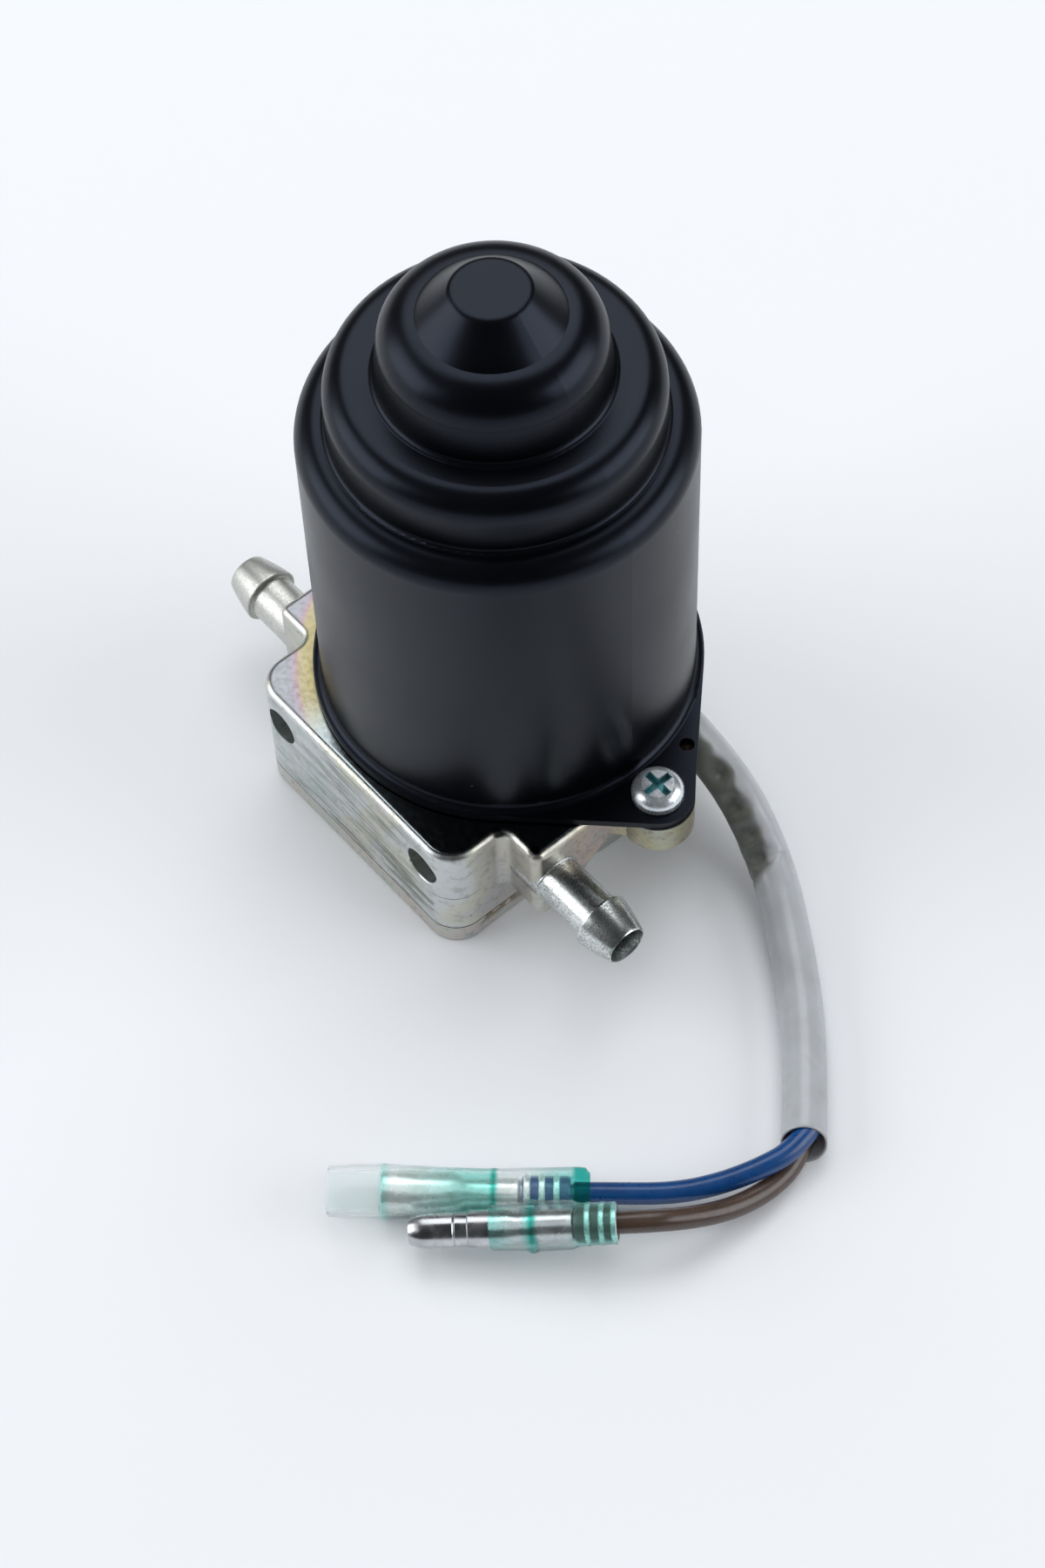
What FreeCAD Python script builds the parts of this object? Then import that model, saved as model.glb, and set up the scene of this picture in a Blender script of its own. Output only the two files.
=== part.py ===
# Oil feed pump: a gear pump in a cast body with an electric motor in a drawn can above it.
# Millimetres. The origin is on the motor's axis at the underside of the bottom cover, +Z runs up
# the motor's axis, +X along the front hose nozzle, and the wall with the mounting holes faces -Y.
import FreeCAD, Part
import Sketcher
import math
import os

from FreeCAD import Vector

os.makedirs("parts", exist_ok=True)
doc = FreeCAD.newDocument("oil_feed_pump")

# Driving dimensions
SIZES = {
    # motor can, deep drawn from sheet
    "can_radius": 22.5,
    "can_wall": 1.1,
    "flange_thickness": 1.0,
    "flare_radius": 1.0,
    "shoulder_height": 46.3,
    "shoulder_round": 2.9,
    "shoulder_flat": 0.1,
    "shoulder_fillet": 0.6,
    "collar_height": 7.6,
    "collar_round": 3.0,
    "collar_flat": 2.1,
    "collar_fillet": 0.7,
    "dome_height": 13.2,
    "dome_draft": 0.48,
    "dome_round": 4.38,
    "crease_drop": 4.0,
    "nub_run": 3.84,
    "nub_round": 0.9,
    "ear_stand_out": 4.5,
    "ear_radius": 4.3,
    "ear_hole_radius": 1.85,
    "locating_hole_inset": 2.8,
    "locating_hole_y": 7.1,
    "locating_hole_radius": 0.9,
    "locating_hole_depth": 2.5,
    # joints between the castings
    "cover_thickness": 3.0,
    "gasket_thickness": 0.2,
    "packing_thickness": 0.3,
    "spigot_height": 1.6,
    "spigot_gap": 0.1,
    "packing_gap": 0.1,
    # pump body casting
    "body_height": 15.4,
    "lug_thickness": 4.3,
    "lug_inset": 0.5,
    "lug_ear_radius": 4.4,
    "lug_neck": 0.6,
    "lug_web_angle": 20.5,
    "lower_radius": 19.5,
    "pad_half_width": 18.4,
    "pad_reach": 25.0,
    "pad_corner": 4.0,
    "block_reach": 24.2,
    "block_face": 16.4,
    "block_lift": 2.8,
    "block_round": 2.0,
    "block_sole": 1.6,
    "block_root": 3.6,
    "block_fillet": 1.5,
    "block_corner": 1.2,
    "casting_round": 1.0,
    # mounting holes in the wall of the pad
    "mounting_spacing": 26.4,
    "mounting_height": 13.5,
    "mounting_bore": 2.5,
    "mounting_depth": 7.5,
    "mounting_chamfer": 0.15,
    # gear set
    "gear_centres": 13.3,
    "gear_teeth": 12,
    "pressure_angle": 28.0,
    "tooth_addendum": 1.1,
    "tooth_root": 1.35,
    "tooth_backlash": 0.16,
    "gear_width": 7.9,
    "chamber_depth": 8.0,
    "tip_gap": 0.1,
    "port_width": 4.4,
    "port_inner_x": 6.0,
    "port_outer_x": 11.0,
    "port_roof": 9.3,
    "passage_end": 9.0,
    "idler_radius": 2.5,
    "idler_head": 4.0,
    "idler_foot": 1.6,
    "idler_chamfer": 0.4,
    "key_side": 1.5,
    "key_length": 6.5,
    # fits, each a gap on the radius
    "press_gap": 0.02,
    "running_gap": 0.03,
    "screw_gap": 0.1,
    # hose nozzles
    "nozzle_height": 11.95,
    "nozzle_bore": 2.2,
    "nozzle_press": 8.0,
    "front_nozzle_radius": 3.18,
    "front_nozzle_stem": 7.7,
    "front_barb_radius": 3.45,
    "back_nozzle_radius": 3.08,
    "back_nozzle_stem": 6.0,
    "back_barb_radius": 3.55,
    "barb_chamfer": 0.15,
    "barb_width": 2.0,
    "barb_cone": 2.8,
    "barb_tip_radius": 2.65,
    "barb_bulge": 5.0,
    # bottom cover and its screws
    "cover_round": 0.5,
    "cover_screw_radius": 1.5,
    "cover_screw_head": 2.9,
    "cover_screw_length": 8.0,
    "cover_screw_inset": 3.6,
    "cover_screw_level": 6.5,
    "cover_screw_rim": 4.0,
    "screw_hole_spare": 0.6,
    "relief_depth": 1.0,
    "relief_gap": 0.2,
    # flange screws
    "flange_screw_radius": 1.75,
    "flange_screw_length": 5.2,
    "screw_head_radius": 3.1,
    "screw_head_height": 2.0,
    "screw_head_rim": 0.8,
    "screw_head_crown": 1.9,
    "screw_head_bulge": 1.7,
    "recess_arm": 1.9,
    "recess_half_width": 0.45,
    "recess_depth": 1.1,
    # shaft, its bushes and its seal
    "shaft_radius": 2.5,
    "shaft_tail": 2.3,
    "shaft_chamfer": 0.3,
    "lower_bush_radius": 4.0,
    "seal_radius": 6.0,
    "seal_height": 3.4,
    "seal_wall": 0.9,
    "seal_floor": 1.0,
    "seal_drop": 1.4,
    "seal_lip": 0.8,
    "upper_bush_radius": 6.0,
    "upper_bush_half_height": 4.0,
    "upper_bush_drop": 5.8,
    "retainer_drop": 9.4,
    "retainer_thickness": 0.6,
    "retainer_radius": 11.5,
    "retainer_hole": 5.25,
    "retainer_notch_half_width": 0.8,
    "retainer_notch_depth": 3.2,
    "retainer_notch_count": 6,
    "ball_radius": 1.25,
    "ball_drop": 2.65,
    "ball_seat_gap": 0.02,
    "ball_seat_rim": 0.45,
    # armature
    "air_gap": 0.5,
    "core_length": 24.0,
    "core_base": 34.0,
    "slot_count": 10,
    "slot_half_width": 1.6,
    "slot_mouth_half_width": 0.9,
    "slot_floor": 9.4,
    "slot_lip": 1.2,
    "winding_gap": 0.1,
    "winding_inset": 1.7,
    "winding_height": 4.8,
    "winding_round": 2.0,
    "winding_clearance": 0.4,
    "winding_chamfer": 1.5,
    "winding_foot_gap": 0.7,
    "coil_overlap": 1.0,
    "coil_inset": 0.2,
    "hub_radius": 5.5,
    "hub_base": 20.6,
    "hub_top": 29.0,
    "ring_inset": 0.5,
    "commutator_radius": 7.0,
    "commutator_length": 7.0,
    "riser_radius": 7.9,
    "riser_length": 0.9,
    "bar_gap": 0.4,
    "bar_gap_depth": 0.7,
    # field magnets and their clips
    "magnet_thickness": 4.7,
    "magnet_gap": 0.1,
    "magnet_half_angle": 65.0,
    "magnet_overhang": 2.0,
    "clip_thickness": 0.9,
    "clip_half_angle": 24.5,
    # brush gear
    "plate_inset": 0.9,
    "plate_thickness": 1.6,
    "plate_hole": 8.5,
    "plate_screw_inset": 3.0,
    "plate_screw_radius": 1.25,
    "plate_screw_head": 2.2,
    "plate_screw_head_height": 1.4,
    "plate_screw_rim": 0.8,
    "plate_screw_crown": 1.5,
    "plate_screw_length": 5.6,
    "box_inner_x": 8.1,
    "box_outer_x": 18.4,
    "box_half_width": 3.0,
    "box_height": 6.0,
    "box_wall": 0.55,
    "brush_gap": 0.1,
    "brush_face_gap": 0.15,
    "brush_back_x": 14.6,
    "spring_radius": 1.6,
    "spring_wire": 0.3,
    "spring_wire_sides": 12,
    "spring_turns": 4,
    "spring_end_gap": 0.05,
    "tab_inner_x": 11.5,
    "tab_outer_x": 16.5,
    "tab_depth": 3.4,
    "tab_thickness": 0.5,
    "tab_gap": 0.05,
    # cable exit
    "cable_y": 13.0,
    "cable_height": 10.5,
    "cable_flat_x": 14.0,
    "cable_turn_x": 9.0,
    "cable_hole": 3.2,
    "riser_hole": 3.0,
    "spot_margin": 0.5,
    "plate_notch": 3.6,
    "grommet_head": 3.7,
    "grommet_head_length": 1.2,
    "grommet_neck_length": 2.4,
    "grommet_recess": 0.8,
    "sleeve_radius": 2.7,
    "lead_radius": 1.3,
    "lead_pitch": 2.9,
    "tail_rise": 8.5,
    "tail_lift": 0.02,
    "tail_stand_off": 0.1,
    "tail_crossing": 0.8,
    # bullet connectors
    "pin_radius": 2.0,
    "pin_tip_radius": 1.6,
    "pin_bore": 1.2,
    "pin_bore_depth": 4.0,
    "pin_length": 9.3,
    "pin_tip_length": 1.7,
    "pin_tip_bulge": 6.0,
    "pin_groove_place": 5.2,
    "pin_groove_width": 0.6,
    "pin_groove_slope": 0.25,
    "pin_groove_depth": 0.2,
    "pin_foot": 2.0,
    "pin_reach": 21.2,
    "pin_sleeve_length": 23.7,
    "pin_sleeve_mouth": 2.5,
    "pin_sleeve_body": 2.75,
    "pin_sleeve_collar": 3.05,
    "pin_sleeve_tail": 2.35,
    "pin_collar_place": 13.5,
    "pin_collar_width": 0.6,
    "pin_tail_place": 19.0,
    "socket_bore": 2.05,
    "socket_radius": 2.5,
    "socket_mouth": 6.2,
    "socket_length": 8.4,
    "socket_wall": 0.8,
    "socket_reach": 26.6,
    "socket_entry": 2.35,
    "socket_sleeve_length": 30.1,
    "socket_sleeve_mouth": 2.9,
    "socket_sleeve_belly": 3.2,
    "socket_belly_place": 6.5,
    "socket_sleeve_waist": 2.7,
    "socket_waist_place": 18.5,
    "socket_waist_bend": 190.0,
    "socket_sleeve_tail": 3.0,
    "socket_tail_bend": 260.0,
    "socket_sleeve_end": 2.2,
    "socket_end_length": 1.4,
    "barrel_radius": 1.7,
    "shoulder_run": 0.8,
    "inner_gap": 0.1,
}

sheet = doc.addObject("Spreadsheet::Sheet", "Sizes")
for row, (alias, number) in enumerate(SIZES.items(), start=1):
    sheet.set("A%d" % row, alias)
    sheet.set("B%d" % row, str(number))
    sheet.setAlias("B%d" % row, alias)
doc.recompute()


class Size:
    """A length kept two ways: as a number, and as the expression that ties it to the sheet."""

    def __init__(self, value, text):
        self.value = value
        self.text = text

    def __add__(self, other):
        other = as_size(other)
        return Size(self.value + other.value, "(%s + %s)" % (self.text, other.text))

    def __sub__(self, other):
        other = as_size(other)
        return Size(self.value - other.value, "(%s - %s)" % (self.text, other.text))

    def __mul__(self, other):
        other = as_size(other)
        return Size(self.value * other.value, "(%s * %s)" % (self.text, other.text))

    def __truediv__(self, other):
        other = as_size(other)
        return Size(self.value / other.value, "(%s / %s)" % (self.text, other.text))

    def __rsub__(self, other):
        return as_size(other) - self

    def __neg__(self):
        return Size(-self.value, "(-1 * %s)" % self.text)


def as_size(length):
    return length if isinstance(length, Size) else Size(float(length), repr(float(length)))


def root(size):
    return Size(math.sqrt(size.value), "sqrt(%s)" % size.text)


def cosine(angle):
    return Size(math.cos(math.radians(angle.value)), "cos(%s)" % angle.text)


def sine(angle):
    return Size(math.sin(math.radians(angle.value)), "sin(%s)" % angle.text)


class Driving:
    """The sheet's sizes, each under its own name."""


d = Driving()
for alias in SIZES:
    setattr(d, alias, Size(getattr(sheet, alias), "Sizes." + alias))

ZERO = as_size(0)

# Levels and places that follow from the driving sizes
level_body = d.cover_thickness + d.gasket_thickness
level_joint = level_body + d.body_height
level_flange = level_joint + d.packing_thickness
level_flange_top = level_flange + d.flange_thickness
level_shoulder = level_flange + d.shoulder_height
level_collar = level_shoulder + d.collar_height
level_top = level_collar + d.dome_height
level_crease = level_top - d.crease_drop
level_lug = level_joint - d.lug_thickness
level_spigot = level_joint + d.spigot_height
level_roof = level_body + d.chamber_depth
level_plate_top = level_spigot + d.plate_thickness
level_bush = level_top - d.upper_bush_drop
collar_radius = d.can_radius - d.shoulder_round - d.shoulder_flat - d.shoulder_fillet
neck_radius = collar_radius - d.collar_round - d.collar_flat - d.collar_fillet
crease_radius = neck_radius - d.dome_draft - d.dome_round
nub_radius = crease_radius - d.nub_run
lip_radius = d.can_radius + d.flare_radius
can_bore = d.can_radius - d.can_wall
spigot_radius = can_bore - d.spigot_gap
lug_radius = lip_radius - d.lug_inset
ear_reach = d.can_radius + d.ear_stand_out
locating_hole_x = ear_reach - d.locating_hole_inset
pitch_radius = d.gear_centres / 2
tip_radius = pitch_radius + d.tooth_addendum
chamber_radius = tip_radius + d.tip_gap
magnet_outer = can_bore - d.magnet_gap
magnet_inner = magnet_outer - d.magnet_thickness
core_radius = magnet_inner - d.air_gap
winding_radius = core_radius - d.winding_inset
plate_radius = can_bore - d.plate_inset
plate_screw_y = plate_radius - d.plate_screw_inset
nozzle_inner_x = d.block_reach - d.nozzle_press

nodes = []


def new_body(label, placement=None):
    """A body that is one node of the part."""
    body = doc.addObject("PartDesign::Body", label)
    body.Label = label
    if placement:
        body.Placement = placement
    nodes.append(body)
    return body


def origin_plane(body, role):
    for feature in body.Origin.OriginFeatures:
        if feature.Role == role:
            return feature
    raise RuntimeError("no origin plane " + role)


def new_sketch(body, name, role="XY_Plane", offset=None, along=None, across=None):
    """A sketch on one of the body's own origin planes, shifted off it and within it."""
    sketch = body.newObject("Sketcher::SketchObject", body.Label + "_" + name)
    sketch.AttachmentSupport = [(origin_plane(body, role), "")]
    sketch.MapMode = "FlatFace"
    for axis, shift in (("z", offset), ("x", along), ("y", across)):
        if shift is not None:
            sketch.setExpression("AttachmentOffset.Base." + axis, shift.text)
    return sketch


def bind(sketch, kind, first, size):
    """A driving constraint whose value is tied to the sheet."""
    index = sketch.addConstraint(Sketcher.Constraint(kind, *first, size.value))
    sketch.setExpression("Constraints[%d]" % index, size.text)


def draw(sketch, corners):
    """A closed outline. A corner is (x, y), reached by a line, or (x, y, radius), reached by an
    arc of that radius: positive turns counter-clockwise, negative clockwise."""
    edges = []
    for index, corner in enumerate(corners):
        before = corners[index - 1]
        start = Vector(as_size(before[0]).value, as_size(before[1]).value, 0)
        end = Vector(as_size(corner[0]).value, as_size(corner[1]).value, 0)
        if len(corner) == 2:
            edges.append((sketch.addGeometry(Part.LineSegment(start, end), False), 1, 2, None))
            continue
        radius = corner[2]
        half = (end - start) * 0.5
        side = Vector(-half.y, half.x, 0)
        side.normalize()
        turn = 1 if radius.value > 0 else -1
        rise = math.sqrt(max(radius.value ** 2 - half.Length ** 2, 0))
        centre = start + half + side * rise * turn
        first, last = (start, end) if turn > 0 else (end, start)
        angle = math.atan2(first.y - centre.y, first.x - centre.x)
        stop = math.atan2(last.y - centre.y, last.x - centre.x)
        if stop < angle:
            stop += 2 * math.pi
        circle = Part.Circle(centre, Vector(0, 0, 1), abs(radius.value))
        edge = sketch.addGeometry(Part.ArcOfCircle(circle, angle, stop), False)
        edges.append((edge, 1, 2, radius) if turn > 0 else (edge, 2, 1, -radius))
    for index, (edge, start, end, radius) in enumerate(edges):
        before = edges[index - 1]
        sketch.addConstraint(Sketcher.Constraint("Coincident", before[0], before[2], edge, start))
        corner = corners[index]
        bind(sketch, "DistanceX", (-1, 1, edge, end), as_size(corner[0]))
        bind(sketch, "DistanceY", (-1, 1, edge, end), as_size(corner[1]))
        if radius:
            bind(sketch, "Radius", (edge,), radius)


def draw_circle(sketch, x, y, radius):
    x = as_size(x)
    y = as_size(y)
    circle = Part.Circle(Vector(x.value, y.value, 0), Vector(0, 0, 1), radius.value)
    edge = sketch.addGeometry(circle, False)
    bind(sketch, "DistanceX", (-1, 1, edge, 3), x)
    bind(sketch, "DistanceY", (-1, 1, edge, 3), y)
    bind(sketch, "Radius", (edge,), radius)


def pad(sketch, length):
    """Adds the sketch's outline as a block along its own normal."""
    body = sketch.getParentGeoFeatureGroup()
    feature = body.newObject("PartDesign::Pad", sketch.Name + "_pad")
    feature.Profile = sketch
    feature.setExpression("Length", length.text)
    doc.recompute()
    return feature


def cut(sketch, length):
    """Cuts the sketch's outline along its own normal, and makes sure that metal went."""
    body = sketch.getParentGeoFeatureGroup()
    before = body.Shape.Volume
    feature = body.newObject("PartDesign::Pocket", sketch.Name + "_cut")
    feature.Profile = sketch
    feature.Reversed = True
    feature.setExpression("Length", length.text)
    doc.recompute()
    expect_less(body, before, feature)
    return feature


def expect_less(body, before, feature):
    if not body.Shape.Volume < before:
        raise RuntimeError(feature.Name + " cuts nothing")


def spin(sketch, axis="V_Axis", take_away=False):
    """Turns the sketch's outline once round one of its own axes, to add or to cut."""
    body = sketch.getParentGeoFeatureGroup()
    before = body.Shape.Volume if take_away else 0
    kind = "PartDesign::Groove" if take_away else "PartDesign::Revolution"
    feature = body.newObject(kind, sketch.Name + "_spin")
    feature.Profile = sketch
    feature.ReferenceAxis = (sketch, [axis])
    feature.Angle = 360
    doc.recompute()
    if take_away:
        expect_less(body, before, feature)
    return feature


def round_edges(body, name, radius, wanted, kind="Fillet"):
    """Rounds or chamfers the edges of the body's last feature that the test picks."""
    base = body.Tip
    picked = ["Edge%d" % number for number, edge in enumerate(base.Shape.Edges, start=1)
              if wanted(edge)]
    if not picked:
        raise RuntimeError(body.Label + " has no edges for " + name)
    feature = body.newObject("PartDesign::" + kind, body.Label + "_" + name)
    feature.Base = (base, picked)
    feature.setExpression("Radius" if kind == "Fillet" else "Size", radius.text)
    doc.recompute()
    return feature


def repeat_round(feature, count):
    """Repeats the body's last feature evenly about the body's Z axis."""
    body = feature.getParentGeoFeatureGroup()
    pattern = body.newObject("PartDesign::PolarPattern", feature.Name + "_pattern")
    pattern.Originals = [feature]
    pattern.Axis = (origin_plane(body, "Z_Axis"), [""])
    pattern.Angle = 360
    pattern.setExpression("Occurrences", count.text)
    body.Tip = pattern
    doc.recompute()
    return pattern


def near(a, b, tolerance=0.02):
    return abs(a - b) < tolerance


def turned(label, corners, x=None, y=None, placement=None):
    """A piece turned about an upright axis through (x, y), from a half section (radius, height)."""
    body = new_body(label, placement)
    sketch = new_sketch(body, "section", "XZ_Plane", offset=-y if y is not None else None, along=x)
    draw(sketch, corners)
    spin(sketch)
    return body


def tube_section(bore, radius, low, high):
    return [(bore, low), (radius, low), (radius, high), (bore, high)]


def touching_line(radius, ear_radius):
    """Where a line that touches the disc and an ear's circle meets each of them."""
    lean = (radius - ear_radius) / ear_reach
    rise = root(as_size(1) - lean * lean)
    return ear_reach + ear_radius * lean, ear_radius * rise, radius * lean, radius * rise


def eared_outline(radius, ear_radius):
    """A disc with an ear on each side, joined by lines that touch both circles."""
    ear_x, ear_y, disc_x, disc_y = touching_line(radius, ear_radius)
    return [
        (ear_x, -ear_y),
        (ear_x, ear_y, ear_radius),
        (disc_x, disc_y),
        (-disc_x, disc_y, radius),
        (-ear_x, ear_y),
        (-ear_x, -ear_y, ear_radius),
        (-disc_x, -disc_y),
        (disc_x, -disc_y, radius),
    ]


def lug_outline():
    """The lug plate: bosses that stand out of narrow webs at the front, of a full ear behind."""
    ear_x, ear_y, disc_x, disc_y = touching_line(lug_radius, d.lug_ear_radius)
    neck_x = ear_reach - d.lug_neck
    neck_y = root(d.lug_ear_radius * d.lug_ear_radius - d.lug_neck * d.lug_neck)
    foot_x = lug_radius * cosine(d.lug_web_angle)
    foot_y = lug_radius * sine(d.lug_web_angle)
    boss_x = ear_reach + d.lug_ear_radius
    return [
        (neck_x, -neck_y),
        (boss_x, ZERO, d.lug_ear_radius),
        (ear_x, ear_y, d.lug_ear_radius),
        (disc_x, disc_y),
        (-disc_x, disc_y, lug_radius),
        (-ear_x, ear_y),
        (-boss_x, ZERO, d.lug_ear_radius),
        (-neck_x, -neck_y, d.lug_ear_radius),
        (-foot_x, -foot_y),
        (foot_x, -foot_y, lug_radius),
    ]


def can_section(wall):
    """The can's half section from the flange up, set in by the wall. Wall 0 gives the outside."""
    return [
        (d.can_radius - wall, level_shoulder - d.shoulder_round),
        (d.can_radius - d.shoulder_round, level_shoulder - wall, d.shoulder_round - wall),
        (collar_radius + d.shoulder_fillet, level_shoulder - wall),
        (collar_radius - wall, level_shoulder + d.shoulder_fillet, -(d.shoulder_fillet + wall)),
        (collar_radius - wall, level_collar - d.collar_round),
        (collar_radius - d.collar_round, level_collar - wall, d.collar_round - wall),
        (neck_radius + d.collar_fillet, level_collar - wall),
        (neck_radius - wall, level_collar + d.collar_fillet, -(d.collar_fillet + wall)),
        (crease_radius + d.dome_round - wall, level_crease - d.dome_round),
        (crease_radius, level_crease - wall, d.dome_round - wall),
    ]


def flange_screw_holes(sketch):
    for side in (1, -1):
        draw_circle(sketch, ear_reach * side, ZERO, d.ear_hole_radius)


# Motor can: drawn outside first, then the flange ears, the inside and the holes
flank = root(d.nub_run * d.nub_run + d.crease_drop * d.crease_drop)
flank_half_tangent = (flank - d.nub_run) / d.crease_drop
nub_inset = d.can_wall * flank_half_tangent

motor_can = new_body("motor_can")
outside = new_sketch(motor_can, "outside", "XZ_Plane")
draw(outside, [
    (ZERO, level_flange),
    (lip_radius, level_flange),
    (lip_radius, level_flange_top),
    (d.can_radius, level_flange_top + d.flare_radius, -d.flare_radius),
] + can_section(ZERO) + [
    (nub_radius, level_top),
    (ZERO, level_top),
])
spin(outside)
round_edges(motor_can, "nub_edge", d.nub_round,
            lambda edge: near(edge.BoundBox.ZMin, level_top.value)
            and near(edge.BoundBox.XMax, nub_radius.value))
ears = new_sketch(motor_can, "ears", offset=level_flange)
draw(ears, eared_outline(lip_radius, d.ear_radius))
pad(ears, d.flange_thickness)
inside = new_sketch(motor_can, "inside", "XZ_Plane")
draw(inside, [
    (ZERO, level_flange),
    (can_bore, level_flange),
] + can_section(d.can_wall) + [
    (crease_radius - nub_inset, level_crease - d.can_wall),
    (nub_radius - nub_inset, level_top - d.can_wall),
    (ZERO, level_top - d.can_wall),
])
spin(inside, take_away=True)
ear_holes = new_sketch(motor_can, "ear_holes", offset=level_flange)
flange_screw_holes(ear_holes)
draw_circle(ear_holes, locating_hole_x, d.locating_hole_y, d.locating_hole_radius)
cut(ear_holes, d.flange_thickness)

# Packing under the can's flange
flange_packing = new_body("flange_packing")
packing_outline = new_sketch(flange_packing, "outline", offset=level_joint)
draw(packing_outline, lug_outline())
draw_circle(packing_outline, ZERO, ZERO, spigot_radius + d.packing_gap)
flange_screw_holes(packing_outline)
draw_circle(packing_outline, locating_hole_x, d.locating_hole_y, d.locating_hole_radius)
pad(packing_outline, d.packing_thickness)

# Pump body: a die casting with a square pad, two nozzle blocks and a lug plate over a round skirt
cover_screw_places = [
    (d.pad_half_width - d.pad_corner, -(d.pad_reach - d.pad_corner)),
    (-(d.pad_half_width - d.pad_corner), -(d.pad_reach - d.pad_corner)),
    (d.pad_half_width - d.cover_screw_inset, d.cover_screw_level),
    (-(d.pad_half_width - d.cover_screw_inset), d.cover_screw_level),
    (ZERO, d.lower_radius - d.cover_screw_rim),
]

pump_body = new_body("pump_body")
pad_outline = new_sketch(pump_body, "pad_outline", offset=level_body)
draw(pad_outline, [
    (d.pad_half_width - d.pad_corner, -d.pad_reach),
    (d.pad_half_width, -(d.pad_reach - d.pad_corner), d.pad_corner),
    (d.pad_half_width, -(d.block_face + d.block_fillet)),
    (d.pad_half_width + d.block_fillet, -d.block_face, -d.block_fillet),
    (d.block_reach - d.block_corner, -d.block_face),
    (d.block_reach, -(d.block_face - d.block_corner), d.block_corner),
    (d.block_reach, -d.block_root),
    (-d.block_reach, -d.block_root),
    (-d.block_reach, -(d.block_face - d.block_corner)),
    (-(d.block_reach - d.block_corner), -d.block_face, d.block_corner),
    (-(d.pad_half_width + d.block_fillet), -d.block_face),
    (-d.pad_half_width, -(d.block_face + d.block_fillet), -d.block_fillet),
    (-d.pad_half_width, -(d.pad_reach - d.pad_corner)),
    (-(d.pad_half_width - d.pad_corner), -d.pad_reach, d.pad_corner),
])
pad(pad_outline, d.body_height)

# Under each block the casting is cut back, with a rounded sole that slopes up to the lug plate
block_foot = level_body + d.block_lift
block_near = d.block_face - d.block_round
block_far = block_near - d.block_sole
clear_of_block = d.block_face + d.block_fillet + 1
for offset, name in ((d.pad_half_width, "front_undercut"), (-d.block_reach, "back_undercut")):
    undercut = new_sketch(pump_body, name, "YZ_Plane", offset=offset)
    draw(undercut, [
        (-clear_of_block, level_body - 1),
        (1 - d.block_root, level_body - 1),
        (1 - d.block_root, level_lug),
        (-d.block_root, level_lug),
        (-block_far, block_foot),
        (-block_near, block_foot),
        (-d.block_face, block_foot + d.block_round, -d.block_round),
        (-clear_of_block, block_foot + d.block_round),
    ])
    cut(undercut, d.block_reach - d.pad_half_width)
round_edges(pump_body, "top_edges", d.casting_round,
            lambda edge: near(edge.BoundBox.ZMin, level_joint.value)
            and edge.BoundBox.YMin < -d.block_root.value - 0.1)
skirt = new_sketch(pump_body, "skirt", offset=level_body)
draw_circle(skirt, ZERO, ZERO, d.lower_radius)
pad(skirt, d.body_height)
lug_plate = new_sketch(pump_body, "lug_plate", offset=level_lug)
draw(lug_plate, lug_outline())
pad(lug_plate, d.lug_thickness)
spigot = new_sketch(pump_body, "spigot", offset=level_joint)
draw_circle(spigot, ZERO, ZERO, spigot_radius)
pad(spigot, d.spigot_height)

# Gear chamber: two bores that run into each other, cut from the cover side
def chamber_outline(gap):
    """The two-bore outline of the gear chamber, let out by a gap."""
    reach = chamber_radius + gap
    waist = root(reach * reach - pitch_radius * pitch_radius)
    return [
        (waist, -pitch_radius),
        (ZERO, reach, reach),
        (-waist, -pitch_radius, reach),
        (ZERO, -(d.gear_centres + reach), reach),
        (waist, -pitch_radius, reach),
    ]


def close_start(corners):
    """Drops the repeated last corner and moves its arc to the first."""
    return [corners[-1]] + corners[1:-1]


chamber = new_sketch(pump_body, "chamber", offset=level_body)
draw(chamber, close_start(chamber_outline(ZERO)))
cut(chamber, d.chamber_depth)

# Port slots: each joins the meeting point of the gears to a nozzle's passage
port_run_x = d.port_outer_x - d.port_inner_x
port_run = root(port_run_x * port_run_x + pitch_radius * pitch_radius)
port_half = d.port_width / 2
port_side_x = port_half * pitch_radius / port_run
port_side_y = port_half * port_run_x / port_run
for side, name in ((1, "front_port"), (-1, "back_port")):
    port = new_sketch(pump_body, name, offset=level_body)
    turn = port_half * side
    draw(port, [
        ((d.port_inner_x + port_side_x) * side, -pitch_radius + port_side_y),
        ((d.port_inner_x - port_side_y) * side, -pitch_radius + port_side_x, turn),
        ((d.port_inner_x - port_side_x) * side, -pitch_radius - port_side_y, turn),
        ((d.port_outer_x - port_side_x) * side, -d.gear_centres - port_side_y),
        ((d.port_outer_x + port_side_y) * side, -d.gear_centres - port_side_x, turn),
        ((d.port_outer_x + port_side_x) * side, -d.gear_centres + port_side_y, turn),
    ])
    cut(port, d.port_roof)

# Shaft bore with the seats of the lower bush and the seal
seal_base = level_spigot - d.seal_height - d.seal_drop
shaft_seats = new_sketch(pump_body, "shaft_seats", "XZ_Plane")
draw(shaft_seats, [
    (ZERO, level_roof - d.tip_gap),
    (d.lower_bush_radius + d.press_gap, level_roof - d.tip_gap),
    (d.lower_bush_radius + d.press_gap, seal_base),
    (d.seal_radius + d.press_gap, seal_base),
    (d.seal_radius + d.press_gap, level_spigot),
    (ZERO, level_spigot),
])
spin(shaft_seats, take_away=True)

idler_bore = new_sketch(pump_body, "idler_bore", offset=level_body)
draw_circle(idler_bore, ZERO, -d.gear_centres, d.idler_radius + d.press_gap)
cut(idler_bore, d.chamber_depth + d.idler_head + d.tip_gap)

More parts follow.
